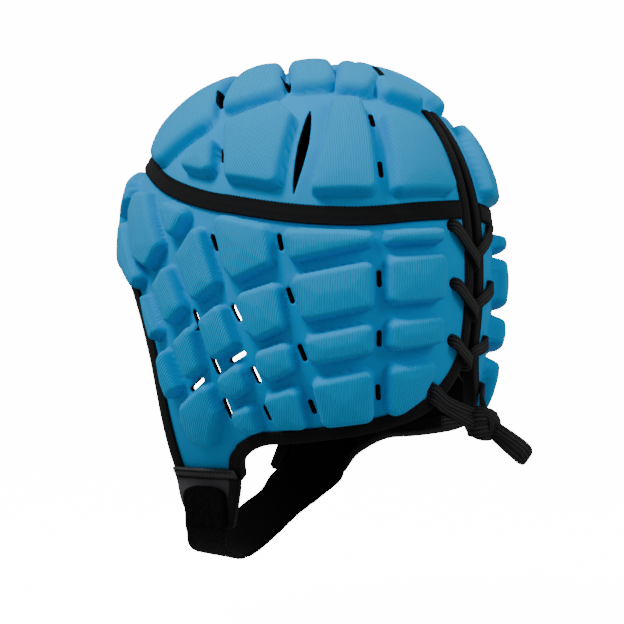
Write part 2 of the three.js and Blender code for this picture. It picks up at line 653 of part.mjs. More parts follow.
// Room above the edges and the seam that no pad may fill.
function keepOut() {
  const reach = BINDING_WIDTH + GAP + 0.2;
  const strip = (edge, turn) => {
    const off = outwardAlong(edge, turn);
    return sheet([-reach, 0, reach].map((shift) => edge.map((spot, i) => insetSpot(spot, off[i], shift))), -WALL, 20);
  };
  const half = ((TAPE_WIDTH / 2 + GAP + 0.2) / CHART_DEPTH) / DEG;
  const azimuths = [-180, ...wrapColumns.map((column) => column.top)];
  const seam = sheet([-half, half].map((shift) => azimuths.map((azimuth) => {
    return place(azimuth, seamArc(azimuth) + shift);
  })), -WALL, 20, true);
  return wasm.Manifold.union([seam, strip(faceEdge(), 1), strip(backEdge(1, KEEP_OUT_ARC), 1), strip(backEdge(-1, KEEP_OUT_ARC), -1)]);
}

// Spot on the surface that lies a given distance from another one in a direction.
function insetSpot(spot, direction, distance) {
  const step = 0.5;
  const round = valley(spot.azimuth + step, spot.arc).sub(valley(spot.azimuth - step, spot.arc)).divideScalar(2 * step);
  const down = valley(spot.azimuth, spot.arc + step).sub(valley(spot.azimuth, spot.arc - step)).divideScalar(2 * step);
  const move = direction.clone().multiplyScalar(distance);
  const rr = round.dot(round);
  const dd = down.dot(down);
  const rd = round.dot(down);
  const mr = move.dot(round);
  const md = move.dot(down);
  const whole = rr * dd - rd * rd;
  return place(spot.azimuth + (mr * dd - md * rd) / whole, spot.arc + (md * rr - mr * rd) / whole);
}

function faceEdge() {
  const parts = ["forehead", "temple", "face"];
  const left = LOWER_EDGE.filter((column) => parts.includes(column.part));
  const half = [...left, LOWER_EDGE.find((column) => column.part === "flap")];
  const columns = [...half.slice(1).reverse().map(mirrorColumn), ...half];
  return columns.map((column) => place(column.azimuth, column.arc));
}

function backEdge(side, beyond = 0) {
  const parts = ["notch", "nape", "corner"];
  const flapEnd = LOWER_EDGE.filter((column) => column.part === "flap").at(-1);
  const lower = [flapEnd, ...LOWER_EDGE.filter((column) => parts.includes(column.part))];
  const slot = slotArcs().reverse().map((arc) => ({ azimuth: backAzimuth(slotHalf(arc), arc), arc }));
  const edge = [...lower, ...slot].map((column) => place(side * column.azimuth, column.arc));
  return beyond > 0 ? [...edge, place(side * slot.at(-1).azimuth, SLOT_TOP_ARC - beyond)] : edge;
}

// Flat band along a route of points, each with the direction in which the band is wide.
function band(route, width, thickness, steps) {
  const curve = new THREE.CatmullRomCurve3(route.map((stop) => stop.at), false, "centripetal");
  const rings = [];
  for (let i = 0; i <= steps; i += 1) {
    const along = (i / steps) * (route.length - 1);
    const first = Math.min(Math.floor(along), route.length - 2);
    const tangent = curve.getTangent(i / steps);
    const side = route[first].wide.clone().lerp(route[first + 1].wide, along - first);
    side.addScaledVector(tangent, -side.dot(tangent)).normalize();
    const up = tangent.clone().cross(side);
    const point = curve.getPoint(i / steps);
    rings.push([[0.5, 0], [0.3, 0.5], [-0.3, 0.5], [-0.5, 0], [-0.3, -0.5], [0.3, -0.5]].map(([w, h]) => {
      return point.clone().addScaledVector(side, w * width).addScaledVector(up, h * thickness);
    }));
  }
  return loft(rings);
}

const LACE_OVER = OUTER_CLEARANCE + BINDING_THICKNESS + GAP + LACE_THICKNESS / 2 + 0.8;
const LACE_UNDER = -(WALL + INNER_CLEARANCE + BINDING_THICKNESS + GAP + LACE_THICKNESS / 2 + 0.4);
const UP = new THREE.Vector3(0, 0, 1);

function backSpot(x, arc) {
  return place(Math.sign(x || 1) * backAzimuth(Math.abs(x), arc), arc);
}

const knotCentre = lifted(backSpot(0, KNOT_ARC), KNOT_LIFT);

// One half of the lace: out of an eyelet, over the binding, down through the slot, to the other side's next eyelet.
function laceRoute(side) {
  const stop = (x, arc, lift, wide = UP) => ({ at: lifted(backSpot(x, arc), lift), wide });
  const first = LACE_ROWS[0];
  const route = [stop(0, first.arc, LACE_UNDER), stop(side * first.eyelet * 0.6, first.arc, LACE_UNDER)];
  LACE_ROWS.forEach((row, k) => {
    const out = k % 2 === 0 ? side : -side;
    const slant = new THREE.Vector3(-out * 0.6, 0, 0.8);
    route.push(stop(out * row.eyelet, row.arc - 0.3, LACE_UNDER * 0.8));
    route.push(stop(out * row.eyelet, row.arc, -WALL / 2));
    route.push(stop(out * row.eyelet, row.arc + 0.3, LACE_OVER * 0.85));
    if (k < LACE_ROWS.length - 1) {
      const crossing = row.crossing + side * CROSSING_SPLIT;
      const share = 0.55;
      route.push(stop(out * row.eyelet * (1 - share), lerp(row.arc, crossing, share), LACE_OVER + 0.3, slant));
      route.push(stop(out * 0.8, crossing - 0.4, LACE_OVER * 0.9));
      route.push(stop(0, crossing, -WALL / 2));
      route.push(stop(-out * 0.8, crossing + 0.4, LACE_UNDER * 0.95));
      route.push(stop(-out * row.eyelet * 0.6, lerp(crossing, LACE_ROWS[k + 1].arc, 0.6), LACE_UNDER));
    } else {
      const end = knotCentre.clone().add(new THREE.Vector3(out * (KNOT_WIDTH / 2 + GAP), -1, KNOT_HEIGHT * 0.2));
      route.push(stop(out * (row.eyelet - 7), row.arc + 3, LACE_OVER + 2));
      route.push({ at: end, wide: UP });
    }
  });
  return route;
}

function lace() {
  const strands = [1, -1].map((side) => band(laceRoute(side), LACE_WIDTH, LACE_THICKNESS, 42));
  return wasm.Manifold.union(strands);
}

// Loop of lace that hangs out of the knot and goes back into it.
function laceLoop() {
  const start = knotCentre.clone().add(new THREE.Vector3(0, KNOT_DEPTH / 2 + 3 * GAP, -1));
  const out = new THREE.Vector3(0, 0.84, -0.54);
  const wide = new THREE.Vector3(1, 0, 0);
  const apart = new THREE.Vector3().crossVectors(wide, out).normalize();
  const stop = (reach, side) => ({
    at: start.clone().addScaledVector(out, reach * LOOP_LENGTH).addScaledVector(apart, side * LOOP_OPENING / 2),
    wide,
  });
  const route = [stop(0, 0.55), stop(0.3, 0.8), stop(0.65, 1), stop(0.9, 0.8), stop(1, 0)];
  const back = [stop(0.9, -0.8), stop(0.65, -1), stop(0.3, -0.8), stop(0, -0.55)];
  return band([...route, ...back], LACE_WIDTH, LACE_THICKNESS, 24);
}

// Short end of the lace that sticks out of the knot towards the wearer's left.
function laceEnd() {
  const start = knotCentre.clone().add(new THREE.Vector3(KNOT_WIDTH / 2 - GAP / 2, 0, -KNOT_HEIGHT * 0.2));
  const stop = (x, y, z) => ({ at: start.clone().add(new THREE.Vector3(x, y, z)), wide: UP });
  const route = [stop(0, 0, 0), stop(STUB_LENGTH / 2, 1, -1), stop(STUB_LENGTH, 0.5, -2)];
  return band(route, LACE_WIDTH * 1.3, LACE_THICKNESS, 6);
}

function laceKnot() {
  const shape = new THREE.IcosahedronGeometry(0.5, 1);
  const position = shape.getAttribute("position");
  const points = [];
  const faces = [];
  for (let i = 0; i < position.count; i += 1) {
    const size = new THREE.Vector3(KNOT_WIDTH, KNOT_DEPTH, KNOT_HEIGHT);
    points.push(new THREE.Vector3().fromBufferAttribute(position, i).multiply(size).add(knotCentre));
    if (i % 3 === 2) {
      faces.push([i - 2, i - 1, i]);
    }
  }
  return solid(points, faces);
}

// Rows of spots across a hanging strip, each with its outward normal.
function stripSpots(points, outwardSign) {
  return points.map((row, i) => row.map((point, j) => {
    const along = points[Math.min(i + 1, points.length - 1)][j].clone().sub(points[Math.max(i - 1, 0)][j]);
    const across = row[row.length - 1].clone().sub(row[0]);
    return { point, normal: along.cross(across).normalize().multiplyScalar(outwardSign) };
  }));
}

function rowPoints(row, shares, tilt = 0) {
  return shares.map((share) => {
    const reach = -FRONT_REACH * lerp(row.front, row.rear, share);
    const height = WALL - dropAt(FLAP_END_ARC) - STRAP_DROP * row.drop + tilt * (0.5 - share);
    return new THREE.Vector3(STRAP_HALF * row.side, reach, height);
  });
}

const TAB_LIFT = OUTER_CLEARANCE + BINDING_THICKNESS + GAP + TAB_THICKNESS / 2;

// Middle surface of the chin tab, from its sewn top edge over the end of the left flap to its lower edge.
function tabPoints(shares) {
  const flap = LOWER_EDGE.filter((column) => column.part === "flap");
  const front = flap[0].azimuth;
  const rear = flap[flap.length - 1].azimuth;
  const sewn = [TAB_TOP_ARC, FLAP_END_ARC - 0.3].map((arc) => shares.map((share) => {
    return lifted(place(lerp(front, rear, share), arc), TAB_LIFT);
  }));
  return [...sewn, ...TAB_ROWS.map((row) => rowPoints(row, shares))];
}

const TAB_SHARES = [0, 0.35, 0.7, 1];

function chinTab() {
  const spots = stripSpots(tabPoints(TAB_SHARES), 1);
  return sheet(spots, -TAB_THICKNESS / 2, TAB_THICKNESS / 2);
}

// Binding of the tab's rear edge, from just under the flap to the tab's lower corner.
function tabBinding() {
  const rows = stripSpots(tabPoints(TAB_SHARES), 1).slice(1);
  const spots = rows.map((row) => {
    const edge = row[row.length - 1];
    const across = edge.point.clone().sub(row[row.length - 2].point).normalize();
    return { ...edge, point: lifted(edge, TAB_THICKNESS / 2), across };
  });
  spots[0].point.lerp(spots[1].point, 0.2);
  return loft(spots.map((spot) => {
    const inner = { ...spot, point: spot.point.clone().addScaledVector(spot.across, -TAB_BINDING_WIDTH) };
    return channel(spot, inner, spot.across, -TAB_THICKNESS - GAP);
  }), CHANNEL_ENDS);
}

function chinStrap() {
  const shares = [0, 0.5, 1];
  const flap = LOWER_EDGE.filter((column) => column.part === "flap");
  const front = flap[0].azimuth + 7;
  const rear = flap[flap.length - 1].azimuth - 4;
  const under = -(WALL + INNER_CLEARANCE + BINDING_THICKNESS + 3 * GAP + STRAP_THICKNESS / 2);
  const sewn = [FLAP_END_ARC - 1, FLAP_END_ARC - 4, STRAP_SEWN_ARC].map((arc) => shares.map((share) => {
    return lifted(place(-lerp(front, rear, share), arc), under);
  }));
  const tilt = (row) => STRAP_TILT * (1 - Math.abs(row.side) / STRAP_ROWS[0].side);
  const rows = STRAP_ROWS.map((row) => rowPoints(row, shares, tilt(row)));
  return sheet(stripSpots([...rows, ...sewn], 1), -STRAP_THICKNESS / 2, STRAP_THICKNESS / 2);
}

const blueFoam = new THREE.MeshStandardMaterial({ color: 0x1f97c6, roughness: 0.85, metalness: 0 });
const blackTape = new THREE.MeshStandardMaterial({ color: 0x141416, roughness: 0.8, metalness: 0 });

const cap = new THREE.Group();

function addPiece(name, body, material) {
  const mesh = body.asOriginal().simplify(FACET_TOLERANCE).getMesh();
  const geometry = new THREE.BufferGeometry();
  geometry.setAttribute("position", new THREE.BufferAttribute(Float32Array.from(mesh.vertProperties), 3));
  geometry.setIndex(new THREE.BufferAttribute(Uint32Array.from(mesh.triVerts), 1));
  geometry.computeVertexNormals();
  const piece = new THREE.Mesh(geometry, material.clone());
  piece.name = name;
  cap.add(piece);
}

addPiece("crown_panel", crownPanel(), blueFoam);
addPiece("wrap_panel", wrapPanel(), blueFoam);
addPiece("seam_tape", seamTape(), blackTape);
addPiece("face_binding", binding(faceEdge(), 1), blackTape);
addPiece("back_binding_left", binding(backEdge(1), 1), blackTape);
addPiece("back_binding_right", binding(backEdge(-1), -1), blackTape);
addPiece("chin_tab", chinTab(), blackTape);
addPiece("tab_binding", tabBinding(), blackTape);
addPiece("chin_strap", chinStrap(), blackTape);
addPiece("lace", lace(), blackTape);
addPiece("lace_knot", laceKnot(), blackTape);
addPiece("lace_loop", laceLoop(), blackTape);
addPiece("lace_end", laceEnd(), blackTape);

export default cap;
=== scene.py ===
"""Rugby scrum cap: padded blue panels, black tapes, a laced back slot and a chin strap.

Lengths in the code are in millimetres and those of the scene in metres.
"""
import math
import bpy
import numpy as np
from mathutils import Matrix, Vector


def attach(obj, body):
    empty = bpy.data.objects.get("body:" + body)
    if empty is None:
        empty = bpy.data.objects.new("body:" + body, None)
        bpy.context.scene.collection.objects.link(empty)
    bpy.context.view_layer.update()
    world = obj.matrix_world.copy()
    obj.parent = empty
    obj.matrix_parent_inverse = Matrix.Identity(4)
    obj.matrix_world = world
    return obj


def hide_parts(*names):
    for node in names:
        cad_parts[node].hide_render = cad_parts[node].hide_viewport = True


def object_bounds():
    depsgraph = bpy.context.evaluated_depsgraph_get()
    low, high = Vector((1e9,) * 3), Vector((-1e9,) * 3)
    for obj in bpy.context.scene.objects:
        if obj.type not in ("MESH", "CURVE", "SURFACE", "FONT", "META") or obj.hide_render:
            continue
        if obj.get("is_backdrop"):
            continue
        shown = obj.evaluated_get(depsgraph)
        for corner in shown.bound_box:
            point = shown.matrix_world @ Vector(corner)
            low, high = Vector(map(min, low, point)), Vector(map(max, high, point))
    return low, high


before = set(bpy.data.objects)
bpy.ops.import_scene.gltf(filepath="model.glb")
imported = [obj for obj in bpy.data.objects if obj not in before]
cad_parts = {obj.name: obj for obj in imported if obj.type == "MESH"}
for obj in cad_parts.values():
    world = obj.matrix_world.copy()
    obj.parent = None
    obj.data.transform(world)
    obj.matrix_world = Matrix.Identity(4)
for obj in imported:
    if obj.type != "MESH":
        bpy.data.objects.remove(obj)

bl_info = {
    "name": "Rugby Scrum Cap",
    "version": (1, 0, 0),
    "blender": (4, 5, 0),
    "location": "3D View > Sidebar > Scrum Cap",
    "description": "Builds a padded rugby head guard with its lace and chin strap",
    "category": "Add Mesh",
}

# Head form in millimetres, with +Z up, the front towards -Y and the wearer's left towards +X.
FRONT_REACH, BACK_REACH, SIDE_REACH = 104.0, 108.5, 85.5
FRONT_DEPTH, BACK_DEPTH, SIDE_DEPTH, CHART_DEPTH = 94.0, 117.5, 102.7, 105.0
FRONT_ROUNDING, BACK_ROUNDING, SIDE_ROUNDING = 2.13, 2.43, 2.04
FRONT_SQUARENESS, BACK_SQUARENESS = 2.2, 2.3
NAPE_TUCK, FLAP_TUCK = 27.6, 16.8
WALL = 3.2
SEAM_GAP, CROWN_GIRTH = 0.6, 590.0
TAPE_WIDTH, BINDING_WIDTH = 10.2, 6.6
SLOT_TOP_ARC, SLOT_TOP_HALF, SLOT_HALF, SLOT_OPENING_ARC, SLOT_CORNER_ARC = 42.0, 1.8, 3.8, 80.0, 117.0
FLAP_END_ARC = 158.0
TAPE_LIFT, TAPE_THICKNESS = 0.3, 1.2
OUTER_CLEARANCE, BINDING_THICKNESS, INNER_CLEARANCE = 0.35, 1.25, 1.0
LACE_THICKNESS = 2.6
KNOT_ARC, KNOT_LIFT = 141.5, 11.0
STRAP_HALF, STRAP_DROP = 54.0, 50.0
STRAP_THICKNESS, TAB_THICKNESS = 2.2, 1.8

# Seam between the two panels: azimuth and arc from the top of the head, in degrees.
SEAM_LINE = ((0, 54), (30, 56.5), (50, 62), (70, 70), (90, 76.2), (110, 80), (130, 81.2), (155, 79.4), (180, 77.5))

# Lower edge of the left half: part, azimuth at the seam, azimuth and arc at the edge, in degrees.
LOWER_EDGE = (
    ("forehead", 0, 0, 94.5), ("forehead", 11, 11, 94.7), ("forehead", 22, 22, 95.2), ("forehead", 33, 34, 96.4),
    ("temple", 42, 45, 100), ("temple", 49, 52.4, 106.6), ("face", 54.5, 57.3, 114.5), ("face", 59, 60.4, 123),
    ("face", 63, 61.6, 132), ("face", 67, 61.7, 141), ("face", 70.5, 61.4, 149.5), ("flap", 74, 61, 158),
    ("flap", 78, 69.5, 158), ("flap", 82, 78, 158), ("flap", 86, 86.5, 158), ("notch", 90, 88.3, 153),
    ("notch", 94, 92.3, 149), ("notch", 99, 98, 146.8), ("nape", 106, 105.5, 146.2), ("nape", 114, 114, 145.5),
    ("nape", 123, 123, 144.6), ("nape", 132, 132, 143.6), ("nape", 141, 141, 142.2), ("nape", 150, 149.5, 140.6),
    ("corner", 158, 157.5, 138.6), ("corner", 165, 164.5, 135.8), ("corner", 170, 170, 132),
    ("corner", 174, 174.6, 127), ("corner", 177, 177.4, 121.5),
)

# Pads of the left half: corners as azimuth and arc in degrees, at the foot of the pad's wall.
SIDE_PADS = {
    "under_seam_back": ((140.5, 85.6), (162, 84.2), (162, 88.4), (140.5, 89.6)),
    "under_seam_rear": ((107.6, 84.8), (136.4, 85.8), (136, 89.8), (111, 94.6)),
    "under_seam_middle": ((88.8, 79.4), (104.2, 83.8), (105.6, 95), (95, 99.8), (92, 96)),
    "temple_long": ((85, 81.2), (90.8, 100.6), (84.6, 105.4), (82.8, 104), (77.4, 91)),
    "temple_triangle": ((68.4, 74.4), (81.2, 78.6), (75.4, 86.4)),
    "brow_outer": ((51, 70.6), (60.6, 71.4), (71, 88), (64.6, 95), (55, 91.6), (49, 77)),
    "brow_lower": ((36.5, 78.6), (45.6, 80.6), (59.2, 97), (55.4, 101.2), (45, 95.2), (33, 91.6)),
    "brow_button": ((42.4, 68.4), (46.6, 69.4), (46.2, 73.6), (41.4, 73)),
    "brow_inner": ((17.4, 61), (37.6, 66.6), (39.4, 72.6), (31, 77.6), (29, 91), (17.4, 90.6)),
    "second_back": ((140.5, 93.2), (161, 91.2), (163, 94), (162.4, 105), (140.8, 106.8)),
    "second_rear": ((110.5, 98.4), (136, 93.8), (136.6, 107.4), (114.4, 111.6)),
    "second_middle": ((95, 103.2), (107, 99.6), (109.4, 113), (100.6, 117), (97.4, 113.8)),
    "second_front": ((91, 105), (95, 118.2), (89.4, 122.4), (87.6, 120.4), (84.8, 110.4)),
    "second_temple": ((73.5, 92.6), (80.4, 107), (74, 112.6), (72.2, 110), (67, 99.8)),
    "second_edge": ((60.4, 101), (69.2, 113.4), (65.4, 116.6), (62.4, 109.6)),
    "third_back": ((141, 111), (162, 108.6), (163, 117.2), (141.6, 119.8)),
    "third_rear": ((114.6, 115.4), (136.6, 111.2), (137, 120.2), (117, 123.8)),
    "third_middle": ((99.8, 119.6), (109.8, 116.6), (112.4, 124.8), (104.2, 128.6), (100.4, 125.8)),
    "third_front": ((95.8, 121.8), (97.6, 130.4), (92.8, 133.6), (90, 131.4), (89, 127)),
    "third_temple": ((82.6, 110.8), (85.4, 124.6), (80, 128.4), (78.4, 126), (75.4, 116.4)),
    "third_edge": ((70.4, 117.6), (75.8, 130.2), (70, 134.4), (67.8, 128.6), (67.2, 121.6)),
    "fourth_back": ((141.8, 123.8), (161, 121.2), (160.4, 126.6), (156.6, 133.4), (150, 137), (143.4, 138.8)),
    "fourth_rear": ((116.6, 127.8), (137, 124), (138.6, 139.4), (120, 141.2)),
    "fourth_middle": ((101, 132), (112.4, 129), (115.4, 141.6), (104.6, 141.8)),
    "fourth_front": ((97.4, 134), (99.4, 142.6), (93.8, 143.4), (91.6, 141), (91, 136.6)),
    "cheek": ((86.2, 127.6), (88.4, 137), (83.6, 147.2), (78, 147), (75.4, 144.6), (74, 140), (74.6, 135)),
}
CROWN_PADS = {
    "rear_panel": ((144.4, 48), (152, 47), (164.6, 52.6), (170.4, 71.4), (168.4, 74), (143.4, 75.4)),
    "middle_panel": ((124.6, 41), (138.4, 42), (138.8, 56), (138.4, 75.2), (116, 75.4), (121.4, 56.6)),
    "ear_panel": ((86, 49.6), (103, 42), (110, 48.4), (106.6, 73), (91, 69.6)),
    "front_triangle": ((84.6, 53.6), (87.8, 68.6), (72, 64.8)),
    "top_rear": ((152, 38.6), (164, 13.6), (171, 17), (175.4, 38), (172, 43.6)),
    "top_back": ((128.6, 36), (151, 12.6), (161, 16.4), (156.4, 30), (143.6, 37.8)),
    "top_middle": ((107, 35), (91, 11), (121, 5.6), (150, 8.4), (127.6, 34.2)),
    "top_ear": ((81.6, 44), (27, 14.4), (54, 8.4), (77, 10.4), (102.4, 37.4)),
    "top_front": ((78, 46.4), (76.4, 49.4), (61, 61.8), (51, 58.6), (24, 39.6), (20, 19.6), (31, 18.6)),
}
MIDDLE_PADS = {
    "forehead_middle": ((13, 59.4), (13, 90.2), (-13, 90.2), (-13, 59.4)),
}
SIDE_VENTS = {
    "temple_upper": ((87.8, 85.3), (89.6, 90.4)),
    "middle_upper": ((106.4, 85.9), (107.4, 90.9)),
    "middle_second": ((109, 101.4), (110.8, 106.2)),
    "front_second": ((92.8, 106.2), (95, 111.2)),
    "temple_second": ((81.6, 107.4), (84, 113.6)),
    "front_third": ((86.4, 119.8), (88.6, 126.6)),
    "front_cross": ((91.4, 122.8), (96, 120)),
    "middle_third": ((97.6, 124.3), (99.6, 129.2)),
    "rear_third": ((112.4, 117.8), (114.6, 122.7)),
    "edge_third": ((73.6, 120.1), (76, 124.8)),
    "cheek_cross": ((77.6, 131.4), (83.2, 127.8)),
    "cheek_rear": ((88.8, 133.6), (89.9, 139.8)),
    "front_fourth": ((100.2, 135.5), (101.8, 140)),
    "middle_fourth": ((115.4, 133.7), (117.2, 138)),
    "rear_second": ((138.3, 96.6), (138.5, 101.6)),
    "rear_middle": ((138.9, 113.8), (139.2, 118.6)),
    "rear_fourth": ((139.6, 129.3), (140.4, 134)),
}
CROWN_VENTS = {
    "rear_upper": ((141.4, 46), (141.2, 51.4)),
    "rear_lower": ((140.8, 64), (140.8, 69.4)),
    "top_rear": ((157.6, 31), (163, 23.6)),
    "top_middle": ((104.6, 33.4), (98, 25.4)),
    "top_ear": ((75.4, 39.6), (66.6, 32.2)),
    "front_lower": ((87.2, 57.8), (88.6, 63)),
}

# Darts of the crown: arc, azimuth of the front lip and azimuth of the rear lip, in degrees.
DART = (
    (43.8, 115, 115.1), (47, 113.6, 115.6), (51, 112.6, 115.7), (58, 111.2, 115.2), (65, 110.6, 113.6),
    (71, 110.4, 111.9), (74.4, 110.7, 110.9),
)

# Eyelets beside the back slot: share of SIDE_REACH from the middle, arc, and arc where the strands cross below.
LACE_ROWS = ((0.245, 83, 92.5), (0.236, 100, 107.5), (0.218, 116.5, 122), (0.322, 130.5, 136))
EYELET_RADIUS = 3.0

# Chin tab and chin strap: drop below the flap as a share of STRAP_DROP, side as a share of STRAP_HALF,
# front and rear edges as shares of FRONT_REACH.
TAB_ROWS = ((0.272, 0.97, 0.476, 0.118), (0.552, 0.867, 0.442, 0.178))
STRAP_ROWS = (
    (0.092, 1.056, 0.404, 0.192), (0.142, 1.048, 0.428, 0.168), (0.272, 1.022, 0.442, 0.171),
    (0.412, 0.978, 0.447, 0.181), (0.542, 0.933, 0.462, 0.204), (0.662, 0.816, 0.495, 0.24),
    (0.792, 0.631, 0.56, 0.305), (0.912, 0.306, 0.64, 0.375), (0.96, 0, 0.683, 0.41),
    (0.9, -0.224, 0.703, 0.395), (0.732, -0.428, 0.7, 0.34), (0.492, -0.602, 0.665, 0.25),
    (0.272, -0.729, 0.553, 0.125), (0.082, -0.783, 0.5, 0.025),
)
STRAP_TILT = 3.0
STRAP_SEWN, STRAP_SEWN_TRIM = (157, 154, 150), (7, -2)
TAB_TOP_ARC, TAB_BINDING_WIDTH, TAB_STITCH_ARCS = 154.5, 5.0, (155.0, 157.0)
KNOT_SIZE = (20.0, 16.5, 17.5)
LOOP_LENGTH, LOOP_OPENING, STUB_LENGTH = 26.0, 5.6, 21.0

# Stage in metres: camera, floor, paper dome and lights, each light with its place, size and power.
CAMERA_EYE, CAMERA_AIM, CAMERA_LENS = (0.9259, 0.5972, -0.1633), (0.0, 0.0041, -0.1334), 110.7
FLOOR_HEIGHT, DOME_RADIUS, PAPER_GLOW, WORLD_STRENGTH = -0.31, 18, 15.0, 0.42
LIGHTS = {"key_light": ((1.0, -0.35, 1.25), 0.7, 25), "rear_light": ((0.1, 1.4, 0.7), 0.7, 8)}
LIT_SPOT = (0.0, 0.0, -0.12)


def unit(v):
    """Vectors of length 1."""
    return v / np.maximum(np.linalg.norm(v, axis=-1, keepdims=True), 1e-12)


def dome(share, rounding):
    """Rounded profile: from 0 at the top to 1 where the sides are upright."""
    return (1 - (1 - np.clip(share, 0, 1)) ** rounding) ** (1 / rounding)


def drop_at(arc):
    """How far below the top of the head an arc lies."""
    return np.where(arc <= 90, CHART_DEPTH * (1 - np.cos(np.radians(arc))), CHART_DEPTH * (1 + np.radians(arc - 90)))


def reach_at(drop):
    """Reach of the head form to the front, the back and the side at a drop."""
    below_back = np.maximum(drop - BACK_DEPTH, 0) / BACK_DEPTH
    below_side = np.maximum(drop - SIDE_DEPTH, 0) / SIDE_DEPTH
    front = FRONT_REACH * dome(drop / FRONT_DEPTH, FRONT_ROUNDING)
    back = BACK_REACH * dome(drop / BACK_DEPTH, BACK_ROUNDING) - NAPE_TUCK * below_back ** 2
    side = SIDE_REACH * dome(drop / SIDE_DEPTH, SIDE_ROUNDING) - FLAP_TUCK * below_side ** 3
    return front, back, side


def valley(azimuth, arc):
    """Points on the outside of the wall, where there are no pads."""
    azimuth, arc = np.broadcast_arrays(np.asarray(azimuth, float), np.asarray(arc, float))
    drop = drop_at(arc)
    front, back, side = reach_at(drop)
    across, along = np.sin(np.radians(azimuth)), np.cos(np.radians(azimuth))
    power = np.where(along > 0, 2 / FRONT_SQUARENESS, 2 / BACK_SQUARENESS)
    x = side * np.sign(across) * np.abs(across) ** power
    y = np.where(along > 0, -front, back) * np.abs(along) ** power
    return np.stack([x, y, WALL - drop], axis=-1)


def place(azimuth, arc):
    """Points on the outside of the wall and their outward normals."""
    azimuth, arc = np.broadcast_arrays(np.asarray(azimuth, float), np.asarray(arc, float))
    low = np.maximum(arc, 0.3)
    down = valley(azimuth, low + 0.05) - valley(azimuth, low - 0.05)
    around = valley(azimuth + 0.05, low) - valley(azimuth - 0.05, low)
    return valley(azimuth, arc), unit(np.cross(down, around))


def inset_place(azimuth, arc, off, distance):
    """Points of the surface a distance inside an edge, against the direction off."""
    around = valley(azimuth + 0.5, arc) - valley(azimuth - 0.5, arc)
    down = valley(azimuth, arc + 0.5) - valley(azimuth, arc - 0.5)
    move = -off * distance
    rr, dd, rd = (around * around).sum(-1), (down * down).sum(-1), (around * down).sum(-1)
    mr, md = (move * around).sum(-1), (move * down).sum(-1)
    whole = rr * dd - rd * rd
    return place(azimuth + (mr * dd - md * rd) / whole, arc + (md * rr - mr * rd) / whole)


def back_azimuth(distance, arc):
    """Azimuth at the back for a distance from the middle line."""
    share = np.clip(distance / reach_at(drop_at(np.asarray(arc, float)))[2], 0, 1)
    return 180 - np.degrees(np.arcsin(share ** (BACK_SQUARENESS / 2)))


def slot_half(arc):
    """Half the width of the back slot at an arc."""
    opened = np.clip((np.asarray(arc, float) - SLOT_TOP_ARC) / (SLOT_OPENING_ARC - SLOT_TOP_ARC), 0, 1)
    return SLOT_TOP_HALF + (SLOT_HALF - SLOT_TOP_HALF) * opened


def smooth_run(keys, values, at):
    """Smooth curve through the rows of a table, with its slope at each row from the neighbours."""
    keys, values = np.asarray(keys, float), np.asarray(values, float)
    slope = np.gradient(values, keys, axis=0)
    k = np.clip(np.searchsorted(keys, at, side="right") - 1, 0, len(keys) - 2)
    span = keys[k + 1] - keys[k]
    t = (at - keys[k]) / span
    shape = (slice(None),) + (None,) * (values.ndim - 1)
    t, span = t[shape], span[shape]
    a, b, ma, mb = values[k], values[k + 1], slope[k] * span, slope[k + 1] * span
    ease = 3 * t ** 2 - 2 * t ** 3
    return (1 - ease) * a + (t ** 3 - 2 * t ** 2 + t) * ma + ease * b + (t ** 3 - t ** 2) * mb


SEAM_KEYS = np.array([-row[0] for row in SEAM_LINE[:0:-1]] + [row[0] for row in SEAM_LINE], float)
SEAM_ARCS = np.array([row[1] for row in SEAM_LINE[:0:-1]] + [row[1] for row in SEAM_LINE], float)


def seam_arc(azimuth):
    """Arc of the seam between the two panels."""
    return smooth_run(SEAM_KEYS, SEAM_ARCS, np.clip(np.asarray(azimuth, float), -180, 180))


def spaced(points, step):
    """Parameters that step evenly along a polyline."""
    length = np.concatenate([[0], np.cumsum(np.linalg.norm(np.diff(points, axis=0), axis=1))])
    count = max(int(round(length[-1] / step)), 2)
    return np.interp(np.linspace(0, length[-1], count + 1), length, np.arange(len(points)))


def edge_columns(step):
    """Left half of the wrap panel's columns: azimuth at the seam, azimuth and arc at the edge, and the part."""
    seam = float(seam_arc(np.array([180.0]))[0])
    at_seam, at_corner = (float(back_azimuth(SLOT_HALF, arc)) for arc in (seam, SLOT_CORNER_ARC))
    rows = list(LOWER_EDGE) + [("slot", at_seam, at_corner, SLOT_CORNER_ARC)]
    parts = [row[0] for row in rows]
    first, last = parts.index("flap"), len(parts) - 1 - parts[::-1].index("flap")
    table = np.array([row[1:] for row in rows], float)
    out = []
    for low, high in ((0, first), (first, last), (last, len(rows) - 1)):
        keys = np.arange(low, high + 1, dtype=float)
        dense = np.linspace(low, high, 400)
        values = smooth_run(keys, table[low:high + 1], dense)
        edge, top = valley(values[:, 1], values[:, 2]), valley(values[:, 0], seam_arc(values[:, 0]))
        longer = np.maximum(*(np.linalg.norm(np.diff(line, axis=0), axis=1) for line in (edge, top)))
        length = np.concatenate([[0], np.cumsum(longer)])
        count = max(int(round(length[-1] / step)), 2)
        at = np.interp(np.linspace(0, length[-1], count + 1), length, dense)
        run = smooth_run(keys, table[low:high + 1], at)
        out.append(run if low == 0 else run[1:])
    return np.concatenate(out)


